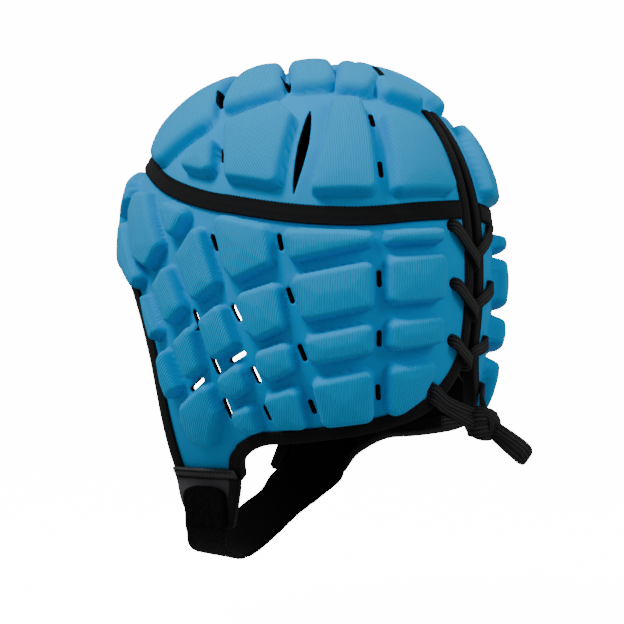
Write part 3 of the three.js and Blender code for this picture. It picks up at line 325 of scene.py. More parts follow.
class Sheet:
    """Closed padded sheet: an outer grid with raised pads, an inner grid, and walls along every open edge."""

    def __init__(self, azimuth, arc, closed):
        self.azimuth, self.arc, self.closed = azimuth, arc, closed
        self.base, self.normal = place(azimuth, arc)
        self.height = np.zeros(azimuth.shape)
        self.share = np.zeros(azimuth.shape)
        self.rib = np.zeros(azimuth.shape)
        self.inside = np.full(azimuth.shape, 9.0)
        self.shift = np.zeros(self.base.shape)

    def local(self, centre, reach):
        """Vertices near a point, in that point's tangent plane."""
        point, normal = place(*centre)
        across = unit(np.cross(np.array([0.0, 0.0, 1.0]), normal))
        down = np.cross(across, normal)
        near = (np.abs(self.base - point).max(-1) < reach) & ((self.normal @ normal) > 0.3)
        offset = self.base[near] - point
        return near, offset @ across, offset @ down, across, down, point

    def pad(self, corners, size):
        """Raises a pad with rounded corners and shoulders over its outline."""
        spots = np.array(corners, float)
        where = valley(spots[:, 0], spots[:, 1])
        middle = where.mean(0)
        azimuth = math.degrees(math.atan2(middle[0], -middle[1]))
        tries = np.linspace(spots[:, 1].min(), spots[:, 1].max(), 60)
        arc = tries[np.linalg.norm(valley(azimuth, tries) - middle, axis=1).argmin()]
        near, a, b, across, down, point = self.local((azimuth, arc), 46.0)
        polygon = np.stack([(where - point) @ across, (where - point) @ down], axis=1)
        inner, depth = shrink(polygon, size.corner)
        distance = depth + size.spread - signed_distance(np.stack([a, b], axis=1), inner)
        wide = max(-signed_distance(polygon.mean(0)[None], polygon)[0], depth + 0.5)
        shoulder = min(size.shoulder, 0.8 * wide)
        t = np.clip(distance / shoulder, 0, 1)
        rise = (1 - (1 - t) ** 2.2) ** (1 / 1.7)
        crown = size.crown * np.clip(distance / wide, 0, 1) ** 0.7
        lift = np.where(distance > 0, size.height * rise * min(1.0, 0.78 + wide / 30) + crown, 0)
        taller = lift > self.height[near]
        index = np.flatnonzero(near.ravel())[taller]
        self.height.ravel()[index] = lift[taller]
        self.share.ravel()[index] = t[taller]
        lean = math.radians(rib_angle(azimuth, arc))
        self.rib.ravel()[index] = (a * math.cos(lean) + b * math.sin(lean))[taller] + 200

    def cut(self, near, distance, across_move, cell):
        """Marks what lies inside an outline as open, and moves the vertices beside the outline onto it."""
        index = np.flatnonzero(near.ravel())
        snap = np.abs(distance) < 0.62 * cell
        closer = np.abs(distance) < np.abs(self.inside.ravel()[index])
        self.shift.reshape(-1, 3)[index[snap & closer]] = across_move[snap & closer] * -distance[snap & closer, None]
        value = np.where(snap, 0.0, distance)
        take = closer | (distance < 0)
        self.inside.ravel()[index[take]] = value[take]

    def slot(self, start, end, width, cell):
        """Opens a vent with round ends."""
        p, q = valley(*start), valley(*end)
        centre = ((start[0] + end[0]) / 2, (start[1] + end[1]) / 2)
        near, a, b, across, down, point = self.local(centre, 14.0)
        p2, q2 = (np.array([(s - point) @ across, (s - point) @ down]) for s in (p, q))
        along = unit(q2 - p2)
        p2, q2 = p2 + along * width / 2, q2 - along * width / 2
        offset = np.stack([a, b], axis=1) - p2
        t = np.clip(offset @ (q2 - p2) / ((q2 - p2) @ (q2 - p2)), 0, 1)
        away = offset - t[:, None] * (q2 - p2)
        length = np.linalg.norm(away, axis=1)
        away = away / np.maximum(length, 1e-9)[:, None]
        self.cut(near, length - width / 2, away[:, :1] * across + away[:, 1:] * down, cell)

    def hole(self, centre, radius, cell):
        """Opens a round eyelet."""
        near, a, b, across, down, _ = self.local(centre, 3 * radius)
        length = np.hypot(a, b)
        away = (a[:, None] * across + b[:, None] * down) / np.maximum(length, 1e-9)[:, None]
        self.cut(near, length - radius, away, cell)

    def lens(self, lips, cell):
        """Opens a long dart between two lips given as rows of arc, front azimuth and rear azimuth."""
        arcs = np.array([row[0] for row in lips], float)
        front = np.array([row[1] for row in lips], float)
        rear = np.array([row[2] for row in lips], float)
        fine = np.linspace(arcs[0], arcs[-1], 60)
        near_lip, far_lip = (np.stack([np.interp(fine, arcs, lip), fine], 1) for lip in (front, rear))
        outline = np.concatenate([near_lip, far_lip[::-1]])
        centre = (float((front + rear).mean() / 2), float(arcs.mean()))
        near, a, b, across, down, point = self.local(centre, 46.0)
        where = valley(outline[:, 0], outline[:, 1]) - point
        polygon = np.stack([where @ across, where @ down], axis=1)
        points = np.stack([a, b], axis=1)
        distance = signed_distance(points, polygon)
        step = 0.05
        ga = (signed_distance(points + [step, 0], polygon) - distance) / step
        gb = (signed_distance(points + [0, step], polygon) - distance) / step
        self.cut(near, distance, unit(ga[:, None] * across + gb[:, None] * down), cell)

    def mesh(self, wall):
        """Points, triangles, cloth (0 outside, 1 lining) and facts of the closed sheet."""
        rows, columns = self.azimuth.shape
        index = np.arange(rows * columns).reshape(rows, columns)
        wrap = np.concatenate([index, index[:, :1]], axis=1) if self.closed else index
        a, b, c, d = wrap[:-1, :-1].ravel(), wrap[1:, :-1].ravel(), wrap[1:, 1:].ravel(), wrap[:-1, 1:].ravel()
        inside = self.inside.ravel()
        crossed = inside[a] * inside[c] < -1e-9
        first = np.where(crossed[:, None], np.stack([a, b, d], 1), np.stack([a, b, c], 1))
        second = np.where(crossed[:, None], np.stack([b, c, d], 1), np.stack([a, c, d], 1))
        faces = np.concatenate([first, second])
        value = inside[faces]
        faces = faces[~((value.max(1) < 1e-6) & (value.mean(1) <= 1e-6))]
        base = (self.base + self.shift).reshape(-1, 3)
        normal = self.normal.reshape(-1, 3)
        outer = base + normal * self.height.reshape(-1, 1)
        inner = base - normal * wall
        key = np.round(base * 1e3).astype(np.int64)
        _, pick, merged = np.unique(key, axis=0, return_index=True, return_inverse=True)
        merged = merged.reshape(-1)
        faces = merged[faces]
        faces = faces[(faces[:, 0] != faces[:, 1]) & (faces[:, 1] != faces[:, 2]) & (faces[:, 2] != faces[:, 0])]
        count = len(pick)
        edges = np.concatenate([faces[:, [0, 1]], faces[:, [1, 2]], faces[:, [2, 0]]])
        code = edges[:, 0].astype(np.int64) * count + edges[:, 1]
        back = edges[:, 1].astype(np.int64) * count + edges[:, 0]
        open_edges = edges[~np.isin(code, back)]
        wall_faces = np.concatenate([
            np.stack([open_edges[:, 1], open_edges[:, 0], open_edges[:, 0] + count], 1),
            np.stack([open_edges[:, 1], open_edges[:, 0] + count, open_edges[:, 1] + count], 1),
        ])
        points = np.concatenate([outer[pick], inner[pick]])
        every = np.concatenate([faces, faces[:, ::-1] + count, wall_faces])
        kind = np.concatenate([np.zeros(len(faces), int), np.ones(len(faces), int), np.ones(len(wall_faces), int)])
        facts = {
            "pad_share": np.concatenate([self.share.ravel()[pick], np.zeros(count)]),
            "rib_mm": np.concatenate([self.rib.ravel()[pick], np.zeros(count)]),
        }
        used = np.unique(every)
        renumber = np.full(len(points), -1)
        renumber[used] = np.arange(len(used))
        return points[used], renumber[every], kind, {name: value[used] for name, value in facts.items()}


def rib_angle(azimuth, arc):
    """Lean of the knit ribs in degrees: upright at the back, more towards the front and on the crown."""
    if arc < 78:
        lean = np.interp(abs(azimuth), (60, 95, 120, 150, 180), (50, 38, 30, -20, -8))
        return math.copysign(lean, -azimuth)
    lean = np.interp(abs(azimuth), (40, 80, 105, 130, 180), (38, 30, 8, 2, 0))
    return math.copysign(lean, azimuth)


def signed_distance(points, polygon):
    """Distance to a closed outline, negative inside."""
    start, end = polygon, np.roll(polygon, -1, axis=0)
    edge = end - start
    offset = points[:, None, :] - start[None]
    t = np.clip((offset * edge).sum(-1) / np.maximum((edge * edge).sum(-1), 1e-9), 0, 1)
    nearest = np.linalg.norm(offset - t[..., None] * edge, axis=-1).min(1)
    above_start = points[:, None, 1] >= start[None, :, 1]
    above_end = points[:, None, 1] >= end[None, :, 1]
    cross = edge[None, :, 0] * offset[..., 1] - edge[None, :, 1] * offset[..., 0]
    crossing = ((above_start & ~above_end) & (cross < 0)) | ((~above_start & above_end) & (cross > 0))
    return np.where(crossing.sum(1) % 2 == 1, -nearest, nearest)


def shrink(polygon, wish):
    """The outline moved inwards, and by how much: less than asked for where the pad is small."""
    area = 0.5 * (polygon[:, 0] * np.roll(polygon[:, 1], -1) - np.roll(polygon[:, 0], -1) * polygon[:, 1]).sum()
    ring = polygon if area > 0 else polygon[::-1]
    middle = ring.mean(0)
    room = -signed_distance(middle[None], ring)[0]
    depth = min(wish, 0.62 * room)
    edge = unit(np.roll(ring, -1, axis=0) - ring)
    inward = np.stack([-edge[:, 1], edge[:, 0]], axis=1)
    before = np.roll(inward, 1, axis=0)
    bisector = unit(before + inward)
    reach = depth / np.maximum((bisector * inward).sum(1), 0.35)
    return ring + bisector * reach[:, None], depth


def mirror(rows):
    """The same corners on the other side of the head."""
    return [(-azimuth, arc) for azimuth, arc in rows]


def add_mesh(name, points, faces, facts=None):
    """New object from points in millimetres, in place in the shared frame."""
    mesh = bpy.data.meshes.new(name)
    if isinstance(faces, np.ndarray):
        mesh.vertices.add(len(points))
        mesh.vertices.foreach_set("co", (np.asarray(points) * 0.001).astype(np.float32).ravel())
        mesh.loops.add(faces.size)
        mesh.loops.foreach_set("vertex_index", faces.astype(np.int32).ravel())
        mesh.polygons.add(len(faces))
        mesh.polygons.foreach_set("loop_start", np.arange(0, faces.size, faces.shape[1], dtype=np.int32))
        mesh.update(calc_edges=True)
    else:
        mesh.from_pydata([tuple(p) for p in np.asarray(points) * 0.001], [], faces)
    for key, value in (facts or {}).items():
        attribute = mesh.attributes.new(key, "FLOAT", "POINT")
        attribute.data.foreach_set("value", np.asarray(value, np.float32))
    mesh.polygons.foreach_set("use_smooth", np.full(len(mesh.polygons), True))
    mesh.validate()
    piece = bpy.data.objects.new(name, mesh)
    bpy.context.scene.collection.objects.link(piece)
    return piece


def finish_piece(piece, nodes=(), cloth=None):
    """Gives a piece its cloth and its body, and hides the CAD parts that it stands for."""
    if cloth is not None:
        piece.data.materials.append(cloth)
    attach(piece, "root")
    if nodes:
        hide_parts(*nodes)
    return piece


def tube(sections, closed_path=False):
    """Closed skin over a row of equal sections: points, faces with capped ends, and lengths along and round."""
    rows, count = sections.shape[:2]
    index = np.arange(rows * count).reshape(rows, count)
    if closed_path:
        index = np.concatenate([index, index[:1]])
    nxt = np.roll(index, -1, axis=1)
    a, b, c, d = index[:-1], nxt[:-1], nxt[1:], index[1:]
    faces = np.stack([a.ravel(), b.ravel(), c.ravel(), d.ravel()], 1)
    points = sections.reshape(-1, 3)
    centres = sections[[0, -1]].mean(1)
    points = np.concatenate([points, centres])
    first, last = rows * count, rows * count + 1
    caps = [(first, int(nxt[0, j]), int(index[0, j])) for j in range(count)]
    caps += [(last, int(index[-1, j]), int(nxt[-1, j])) for j in range(count)]
    if closed_path:
        points, caps = points[:-2], []
    middle = sections.mean(1)
    along = np.concatenate([[0], np.cumsum(np.linalg.norm(np.diff(middle, axis=0), axis=1))])
    ring = np.linalg.norm(np.roll(sections, -1, axis=1) - sections, axis=2).mean(0)
    around = np.concatenate([[0], np.cumsum(ring)])[:-1]
    ends = [] if closed_path else [0, 0]
    along_mm = np.concatenate([np.repeat(along, count), ends and [along[0], along[-1]]])
    around_mm = np.concatenate([np.tile(around, rows), ends])
    faces = [tuple(int(v) for v in face) for face in faces] + caps
    if signed_volume(points, faces) < 0:
        faces = [face[::-1] for face in faces]
    return points, faces, {"along_mm": along_mm, "around_mm": around_mm}


def signed_volume(points, faces):
    """Volume inside closed faces, negative where they point inwards."""
    total = 0.0
    for face in faces:
        a = points[face[0]]
        for j in range(1, len(face) - 1):
            total += a @ np.cross(points[face[j]], points[face[j + 1]])
    return total / 6


def slot_edge(arcs):
    """Azimuth of the edge of the back slot at each arc."""
    return back_azimuth(slot_half(arcs), arcs)


def smooth_edge(low, high, step):
    """Evenly spaced azimuths and arcs along part of the lower edge of the left half."""
    rows = list(LOWER_EDGE) + [("slot", 0, float(slot_edge(arc)), arc) for arc in (SLOT_CORNER_ARC, 110.0)]
    table = np.array([row[2:] for row in rows], float)
    keys = np.arange(low, high + 1, dtype=float)
    dense = np.linspace(low, high, 1200)
    values = smooth_run(keys, table[low:high + 1], dense)
    at = np.interp(spaced(valley(values[:, 0], values[:, 1]), step), np.arange(1200), dense)
    return smooth_run(keys, table[low:high + 1], at)


def face_edge(step):
    """The face edge from the right flap over the forehead to the left flap."""
    parts = [row[0] for row in LOWER_EDGE]
    left = smooth_edge(0, parts.index("flap"), step)
    return np.concatenate([left[::-1] * [-1, 1], left[1:]])


def back_edge(side, step):
    """One side's rear edge, from the flap along the nape and up the back slot."""
    parts = [row[0] for row in LOWER_EDGE]
    last = len(parts) - 1 - parts[::-1].index("flap")
    lower = smooth_edge(last, len(LOWER_EDGE), step)
    arcs = np.arange(SLOT_CORNER_ARC - 0.7, SLOT_TOP_ARC, -step / 1.83)
    slot = np.stack([slot_edge(arcs), arcs], 1)
    return np.concatenate([lower, slot]) * [side, 1]


def edge_frames(edge):
    """Points along an edge, with their outward normals and directions."""
    point, normal = place(edge[:, 0], edge[:, 1])
    tangent = unit(np.gradient(point, axis=0))
    return point, normal, tangent


def binding_sections(edge, turn):
    """Sections of a tape folded round the edge of the wall, with a slight swell between its stitches."""
    point, normal, tangent = edge_frames(edge)
    off = unit(np.cross(tangent, normal)) * turn
    top, deep = OUTER_CLEARANCE + BINDING_THICKNESS, -WALL - INNER_CLEARANCE
    bottom = deep - BINDING_THICKNESS
    insets = (BINDING_WIDTH, BINDING_WIDTH - 0.5, BINDING_WIDTH - 1.3, BINDING_WIDTH - 2.6, 2.2, 1.0, 0.0)
    lifts = (-0.55, -0.12, -0.3, 0.0, 0.12, 0.1, 0.0)
    rings = []

    def at_inset(distance, lift):
        """Points a distance inside the edge, raised off the wall."""
        where, up = inset_place(edge[:, 0], edge[:, 1], off, distance)
        return where + up * lift

    for distance, lift in zip(insets, lifts):
        rings.append(at_inset(distance, top + lift))
    reach = 0.3 + BINDING_THICKNESS
    middle = (top + bottom) / 2
    half = (top - bottom) / 2
    for angle in np.radians((65, 40, 15, -15, -40, -65)):
        spread = abs(math.sin(angle)) ** 0.6 * math.copysign(1, angle)
        rings.append(point + off * reach * math.cos(angle) ** 0.5 + normal * (middle + half * spread))
    for distance in (0.0, 2.2, BINDING_WIDTH - 0.5, BINDING_WIDTH):
        rings.append(at_inset(distance, bottom))
    for distance in (BINDING_WIDTH, 2.5, 0.0):
        rings.append(at_inset(distance, deep))
    rings.append(point + off * 0.3 + normal * deep)
    rings.append(point + off * 0.3 + normal * OUTER_CLEARANCE)
    for distance in (0.0, 2.5, BINDING_WIDTH):
        rings.append(at_inset(distance, OUTER_CLEARANCE))
    return np.stack(rings, axis=1)


def band(stops, width, thickness, step, squareness=3.0, sides=12):
    """Flat band with rounded edges along points that each hold the direction in which the band is wide."""
    at = np.array([stop[0] for stop in stops], float)
    wide = np.array([stop[1] for stop in stops], float)
    length = np.concatenate([[0], np.cumsum(np.sqrt(np.linalg.norm(np.diff(at, axis=0), axis=1)))])
    dense = np.linspace(0, length[-1], 60 * len(at))
    line = smooth_run(length, at, dense)
    keys = np.interp(spaced(line, step), np.arange(len(dense)), dense)
    centre = smooth_run(length, at, keys)
    tangent = unit(np.gradient(centre, axis=0))
    side = np.stack([np.interp(keys, length, wide[:, k]) for k in range(3)], 1)
    side = unit(side - (side * tangent).sum(1, keepdims=True) * tangent)
    up = np.cross(tangent, side)
    angles = np.arange(sides) / sides * 2 * math.pi
    w = np.sign(np.cos(angles)) * np.abs(np.cos(angles)) ** (2 / squareness) / 2
    h = np.sign(np.sin(angles)) * np.abs(np.sin(angles)) ** (2 / squareness) / 2
    return centre[:, None] + side[:, None] * (w * width)[None, :, None] + up[:, None] * (h * thickness)[None, :, None]


UP = np.array([0.0, 0.0, 1.0])
LACE_OVER = OUTER_CLEARANCE + BINDING_THICKNESS + 0.2 + LACE_THICKNESS / 2
LACE_UNDER = -(WALL + INNER_CLEARANCE + BINDING_THICKNESS + 0.4 + LACE_THICKNESS / 2)


def back_spot(x, arc, lift):
    """Point at the back of the cap, a distance aside of the middle line and off the wall."""
    azimuth = float(back_azimuth(abs(x), arc)) * (1 if x >= 0 else -1)
    point, normal = place(azimuth, arc)
    return point + normal * lift


KNOT_CENTRE = back_spot(0.0, KNOT_ARC, KNOT_LIFT) + np.array([-6.0, 5.0, 4.0])


def lace_stops(side):
    """Half of the lace: out of an eyelet, over the binding, through the slot and under to the next eyelet across."""
    stops = [(back_spot(side * share * SIDE_REACH, LACE_ROWS[0][1], LACE_UNDER), UP) for share in (0.0, 0.15)]
    for k, (share, arc, crossing) in enumerate(LACE_ROWS):
        eyelet = share * SIDE_REACH
        out = side if k % 2 == 0 else -side
        slant = np.array([-out * 0.6, 0.0, 0.8])
        stops.append((back_spot(out * (eyelet + 0.6), arc - 0.5, LACE_UNDER * 0.85), UP))
        stops.append((back_spot(out * eyelet, arc, -WALL / 2), UP))
        stops.append((back_spot(out * (eyelet - 0.8), arc + 0.3, LACE_OVER * 0.75), UP * 0.9))
        over = 0.5 if side * (-1) ** k > 0 else 0.0
        if k < len(LACE_ROWS) - 1:
            lower = crossing + (1.6 if over else -1.2)
            stops.append((back_spot(out * eyelet * 0.55, arc + 0.45 * (lower - arc), LACE_OVER + 0.2), slant))
            stops.append((back_spot(out * 2.6, lower - 1.4, LACE_OVER + 0.1 + over), slant))
            stops.append((back_spot(out * 0.9, lower - 0.2, LACE_OVER * 0.6 + over), UP))
            stops.append((back_spot(0.0, lower + 0.2, -WALL / 2), UP))
            stops.append((back_spot(-out * 0.9, lower + 0.5, LACE_UNDER * 0.9), UP))
            next_share, next_arc, _ = LACE_ROWS[k + 1]
            aside = -out * next_share * SIDE_REACH * 0.6
            stops.append((back_spot(aside, lower + 0.6 * (next_arc - lower), LACE_UNDER), UP))
        else:
            stops.append((back_spot(out * (eyelet - 8), arc + 3.2, LACE_OVER + 2.2), UP))
            stops.append((KNOT_CENTRE + np.array([out * 6.0, -1.0, 4.5]), UP))
    return stops
MM = 0.001
MATH, MIX, NOISE, BUMP, ATTRIBUTE = (
    "ShaderNodeMath", "ShaderNodeMix", "ShaderNodeTexNoise", "ShaderNodeBump", "ShaderNodeAttribute")
# Sockets of a colour Mix node, which share their names: its factor, its two colours and its result.
FACTOR, FIRST, SECOND, MIXED = 0, 6, 7, 2


def colour(text):
    """Linear colour from an sRGB hex value."""
    parts = [int(text[i:i + 2], 16) / 255 for i in (1, 3, 5)]
    return tuple(c / 12.92 if c <= 0.04045 else ((c + 0.055) / 1.055) ** 2.4 for c in parts) + (1.0,)


def node(tree, kind, inputs, output=0, **settings):
    """Adds a node with its settings, sets or links its inputs, and gives one of its outputs."""
    made = tree.nodes.new(kind)
    for name, value in settings.items():
        setattr(made, name, value)
    for socket, value in inputs.items():
        if isinstance(value, bpy.types.NodeSocket):
            tree.links.new(value, made.inputs[socket])
        else:
            made.inputs[socket].default_value = value
    return made.outputs[output] if made.outputs else None


def ribs(tree, length, pitch_mm):
    """Rounded ribs with the given pitch along a length in millimetres: 0 in the grooves, 1 on the ribs."""
    angle = node(tree, MATH, {0: length, 1: math.pi / pitch_mm}, operation="MULTIPLY")
    return node(tree, MATH, {0: node(tree, MATH, {0: angle}, operation="SINE")}, operation="ABSOLUTE")


def knit_foam(tree, place_at, look):
    """Polyester rib knit over closed-cell EVA foam, moulded together hot: flat and even in the valleys, where the
    press closed the knit, and soft on the pads, where its ribs stay open. The real ribs are about 0.8 mm apart and
    are drawn 1.2 mm apart, so that they show."""
    share = node(tree, ATTRIBUTE, {}, "Fac", attribute_name="pad_share")
    raised = node(tree, MATH, {0: share, 1: 0.25}, operation="SUBTRACT")
    top = node(tree, MATH, {0: raised, 1: 2.2}, operation="MULTIPLY", use_clamp=True)
    rib = ribs(tree, node(tree, ATTRIBUTE, {}, "Fac", attribute_name="rib_mm"), look.rib_pitch)
    across = node(tree, NOISE, {"Vector": place_at, "Scale": 1 / (0.55 * MM), "Detail": 1.0})
    rib_part = node(tree, MATH, {0: rib, 1: 0.75}, operation="MULTIPLY")
    across_part = node(tree, MATH, {0: across, 1: 0.5}, operation="MULTIPLY")
    thread = node(tree, MATH, {0: rib_part, 1: across_part}, operation="ADD", use_clamp=True)
    # Pad colour: painted light on the ribs and painted shade in the grooves of the knit, with random speckle from the
    # noise.
    pad = node(tree, MIX, {FACTOR: thread, FIRST: look.pad_shade, SECOND: look.pad_light}, MIXED, data_type="RGBA")
    cloud = node(tree, NOISE, {"Vector": place_at, "Scale": 1 / (26 * MM), "Detail": 3.0})
    base = node(tree, MIX, {FACTOR: cloud, FIRST: look.valley, SECOND: look.valley_light}, MIXED, data_type="RGBA")
    fuzz = node(tree, NOISE, {"Vector": place_at, "Scale": 1 / (0.7 * MM), "Detail": 2.0})
    fine = node(tree, BUMP, {"Height": fuzz, "Strength": 0.25, "Distance": 0.12 * MM})
    raised_rib = node(tree, MATH, {0: rib, 1: top}, operation="MULTIPLY")
    return {
        "Base Color": node(tree, MIX, {FACTOR: top, FIRST: base, SECOND: pad}, MIXED, data_type="RGBA"),
        "Roughness": 0.78, "Specular IOR Level": 0.2,
        "Sheen Weight": 0.13, "Sheen Roughness": 0.45, "Sheen Tint": colour("#9FD3EC"),
        "Normal": node(tree, BUMP, {"Height": raised_rib, "Strength": 1.0, "Distance": 0.22 * MM, "Normal": fine}),
    }


def twill_tape(tree, place_at, look):
    """Polyester twill, woven in a narrow loom: slanting ridges that catch a little light on a matt black. The real
    ridges are about 0.6 mm apart and are drawn 1.1 mm apart, so that they show."""
    along = node(tree, ATTRIBUTE, {}, "Fac", attribute_name="along_mm")
    around = node(tree, ATTRIBUTE, {}, "Fac", attribute_name="around_mm")
    slant = node(tree, MATH, {0: around, 1: 1.1}, operation="MULTIPLY")
    ridges = ribs(tree, node(tree, MATH, {0: along, 1: slant}, operation="ADD"), 1.1)
    fuzz = node(tree, NOISE, {"Vector": place_at, "Scale": 1 / (0.5 * MM), "Detail": 2.0})
    fine = node(tree, BUMP, {"Height": fuzz, "Strength": 0.3, "Distance": 0.1 * MM})
    return {
        "Base Color": node(
            tree, MIX, {FACTOR: ridges, FIRST: look.tape, SECOND: look.tape_light}, MIXED, data_type="RGBA"),
        "Roughness": 0.8, "Specular IOR Level": 0.16, "Sheen Weight": 0.03,
        "Normal": node(tree, BUMP, {"Height": ridges, "Strength": 0.7, "Distance": 0.14 * MM, "Normal": fine}),
    }


def braided_lace(tree, place_at, look):
    """Flat polyester braid: strands that slant both ways over lengthwise cords, with a painted highlight on the
    raised strands and painted shade in the gaps between them.
    """
    along = node(tree, ATTRIBUTE, {}, "Fac", attribute_name="along_mm")
    across = node(tree, ATTRIBUTE, {}, "Fac", attribute_name="across")
    slant = node(tree, MATH, {0: across, 1: 1.5}, operation="MULTIPLY")
    left = ribs(tree, node(tree, MATH, {0: along, 1: slant}, operation="ADD"), 1.15)
    right = ribs(tree, node(tree, MATH, {0: along, 1: slant}, operation="SUBTRACT"), 1.15)
    braid = node(tree, MATH, {0: left, 1: right}, operation="MAXIMUM")
    cords = ribs(tree, node(tree, MATH, {0: across, 1: 1.0}, operation="ADD"), 0.5)
    strand_relief_and_highlight = node(tree, MATH, {0: braid, 1: cords}, operation="MULTIPLY")
    return {
        # Base colour: a painted highlight on the raised strands, over the black left in the gaps as painted shade.
        "Base Color": node(
            tree, MIX, {FACTOR: strand_relief_and_highlight, FIRST: look.tape, SECOND: look.lace_painted_highlight}, MIXED, data_type="RGBA"),
        "Roughness": 0.7, "Specular IOR Level": 0.2,
        "Normal": node(tree, BUMP, {"Height": strand_relief_and_highlight, "Strength": 1.0, "Distance": 0.5 * MM}),
    }


def laminate_cloth(tree, place_at, look):
    """Nylon cloth laminated smooth and black, with a painted sheen: a soft grey painted into its colour, lighter in
    patches.
    """
    patches = node(tree, NOISE, {"Vector": place_at, "Scale": 1 / (6 * MM), "Detail": 3.0})
    grain = node(tree, NOISE, {"Vector": place_at, "Scale": 1 / (0.5 * MM), "Detail": 2.0})
    return {
        # Base colour: a painted sheen, grey on the black cloth, lighter where the noise patches are.
        "Base Color": node(
            tree, MIX, {FACTOR: patches, FIRST: look.tab, SECOND: look.tab_sheen_light}, MIXED, data_type="RGBA"),
        "Roughness": 0.6, "Specular IOR Level": 0.3,
        "Normal": node(tree, BUMP, {"Height": grain, "Strength": 0.3, "Distance": 0.08 * MM}),
    }


def loop_pile(tree, place_at, look):
    """Nylon loop pile, knitted and brushed: clumps of tiny loops that swallow the light. The real loops are about
    0.3 mm across and are drawn 0.55 mm across, so that they show."""
    clumps = node(tree, NOISE, {"Vector": place_at, "Scale": 1 / (1.6 * MM), "Detail": 3.0})
    loops = node(tree, NOISE, {"Vector": place_at, "Scale": 1 / (0.55 * MM), "Detail": 2.0})
    lit = node(tree, MATH, {0: clumps, 1: loops}, operation="MULTIPLY")
    rough = node(tree, BUMP, {"Height": clumps, "Strength": 0.7, "Distance": 0.6 * MM})
    return {
        "Base Color": node(
            tree, MIX, {FACTOR: lit, FIRST: look.pile, SECOND: look.pile_light}, MIXED, data_type="RGBA"),
        "Roughness": 0.95, "Specular IOR Level": 0.03, "Sheen Weight": 0.04, "Sheen Roughness": 0.5,
        "Normal": node(tree, BUMP, {"Height": loops, "Strength": 0.9, "Distance": 0.45 * MM, "Normal": rough}),
    }


def weave(tree, place_at, low, high, roughness):
    """Surface of fine yarn with no pattern of its own: specks between two tones."""
    specks = node(tree, NOISE, {"Vector": place_at, "Scale": 1 / (1.2 * MM), "Detail": 2.0})
    grain = node(tree, NOISE, {"Vector": place_at, "Scale": 1 / (0.6 * MM), "Detail": 2.0})
    return {
        "Base Color": node(tree, MIX, {FACTOR: specks, FIRST: low, SECOND: high}, MIXED, data_type="RGBA"),
        "Roughness": roughness, "Specular IOR Level": 0.2,
        "Normal": node(tree, BUMP, {"Height": grain, "Strength": 0.35, "Distance": 0.12 * MM}),
    }


def lining_cloth(tree, place_at, look):
    """Polyester knit lining, bonded to the foam: a plain dull black."""
    return weave(tree, place_at, look.lining, look.lining_light, 0.85)


def stitch_thread(tree, place_at, look):
    """Twisted polyester sewing thread: black, with a slight shine on each stitch."""
    return weave(tree, place_at, look.thread, look.thread_light, 0.6)


def studio_paper(tree, place_at, look):
    """Seamless white paper, lit evenly: no shade of its own."""
    white = colour("#FFFFFF")
    return {"Base Color": white, "Roughness": 0.9, "Emission Color": white, "Emission Strength": PAPER_GLOW}


MATERIALS = {
    "Ribbed knit over foam": knit_foam,
    "Black lining cloth": lining_cloth,
    "Black twill tape": twill_tape,
    "Black braided lace": braided_lace,
    "Smooth black laminate cloth with painted sheen": laminate_cloth,
    "Black loop pile": loop_pile,
    "Black polyester thread": stitch_thread,
    "White studio paper": studio_paper,
}


def material(name, look):
    """The material of that name: it is made at its first use, and the pieces share it."""
    made = bpy.data.materials.get(name)
    if made is None:
        made = bpy.data.materials.new(name)
        made.use_nodes = True
        tree = made.node_tree
        tree.nodes.clear()
        place_at = node(tree, "ShaderNodeTexCoord", {}, "Object")
        surface = node(tree, "ShaderNodeBsdfPrincipled", MATERIALS[name](tree, place_at, look), "BSDF")
        node(tree, "ShaderNodeOutputMaterial", {"Surface": surface})
    return made


def band_piece(name, bodies, look):
    """One object from closed bands: each body is its sections and whether its path closes."""
    points, faces, along, across, offset = [], [], [], [], 0
    for sections, closed in bodies:
        body_points, body_faces, facts = tube(sections, closed)
        sides = sections.shape[1]
        wave = np.tile(np.cos(np.arange(sides) / sides * 2 * math.pi), len(sections))
        across.append(np.concatenate([wave, np.zeros(len(body_points) - len(wave))]))
        along.append(facts["along_mm"])
        points.append(body_points)
        faces += [tuple(v + offset for v in face) for face in body_faces]
        offset += len(body_points)
    facts = {"along_mm": np.concatenate(along), "across": np.concatenate(across)}
    piece = add_mesh(name + "_braid", np.concatenate(points), faces, facts)
    return finish_piece(piece, [name], material("Black braided lace", look))


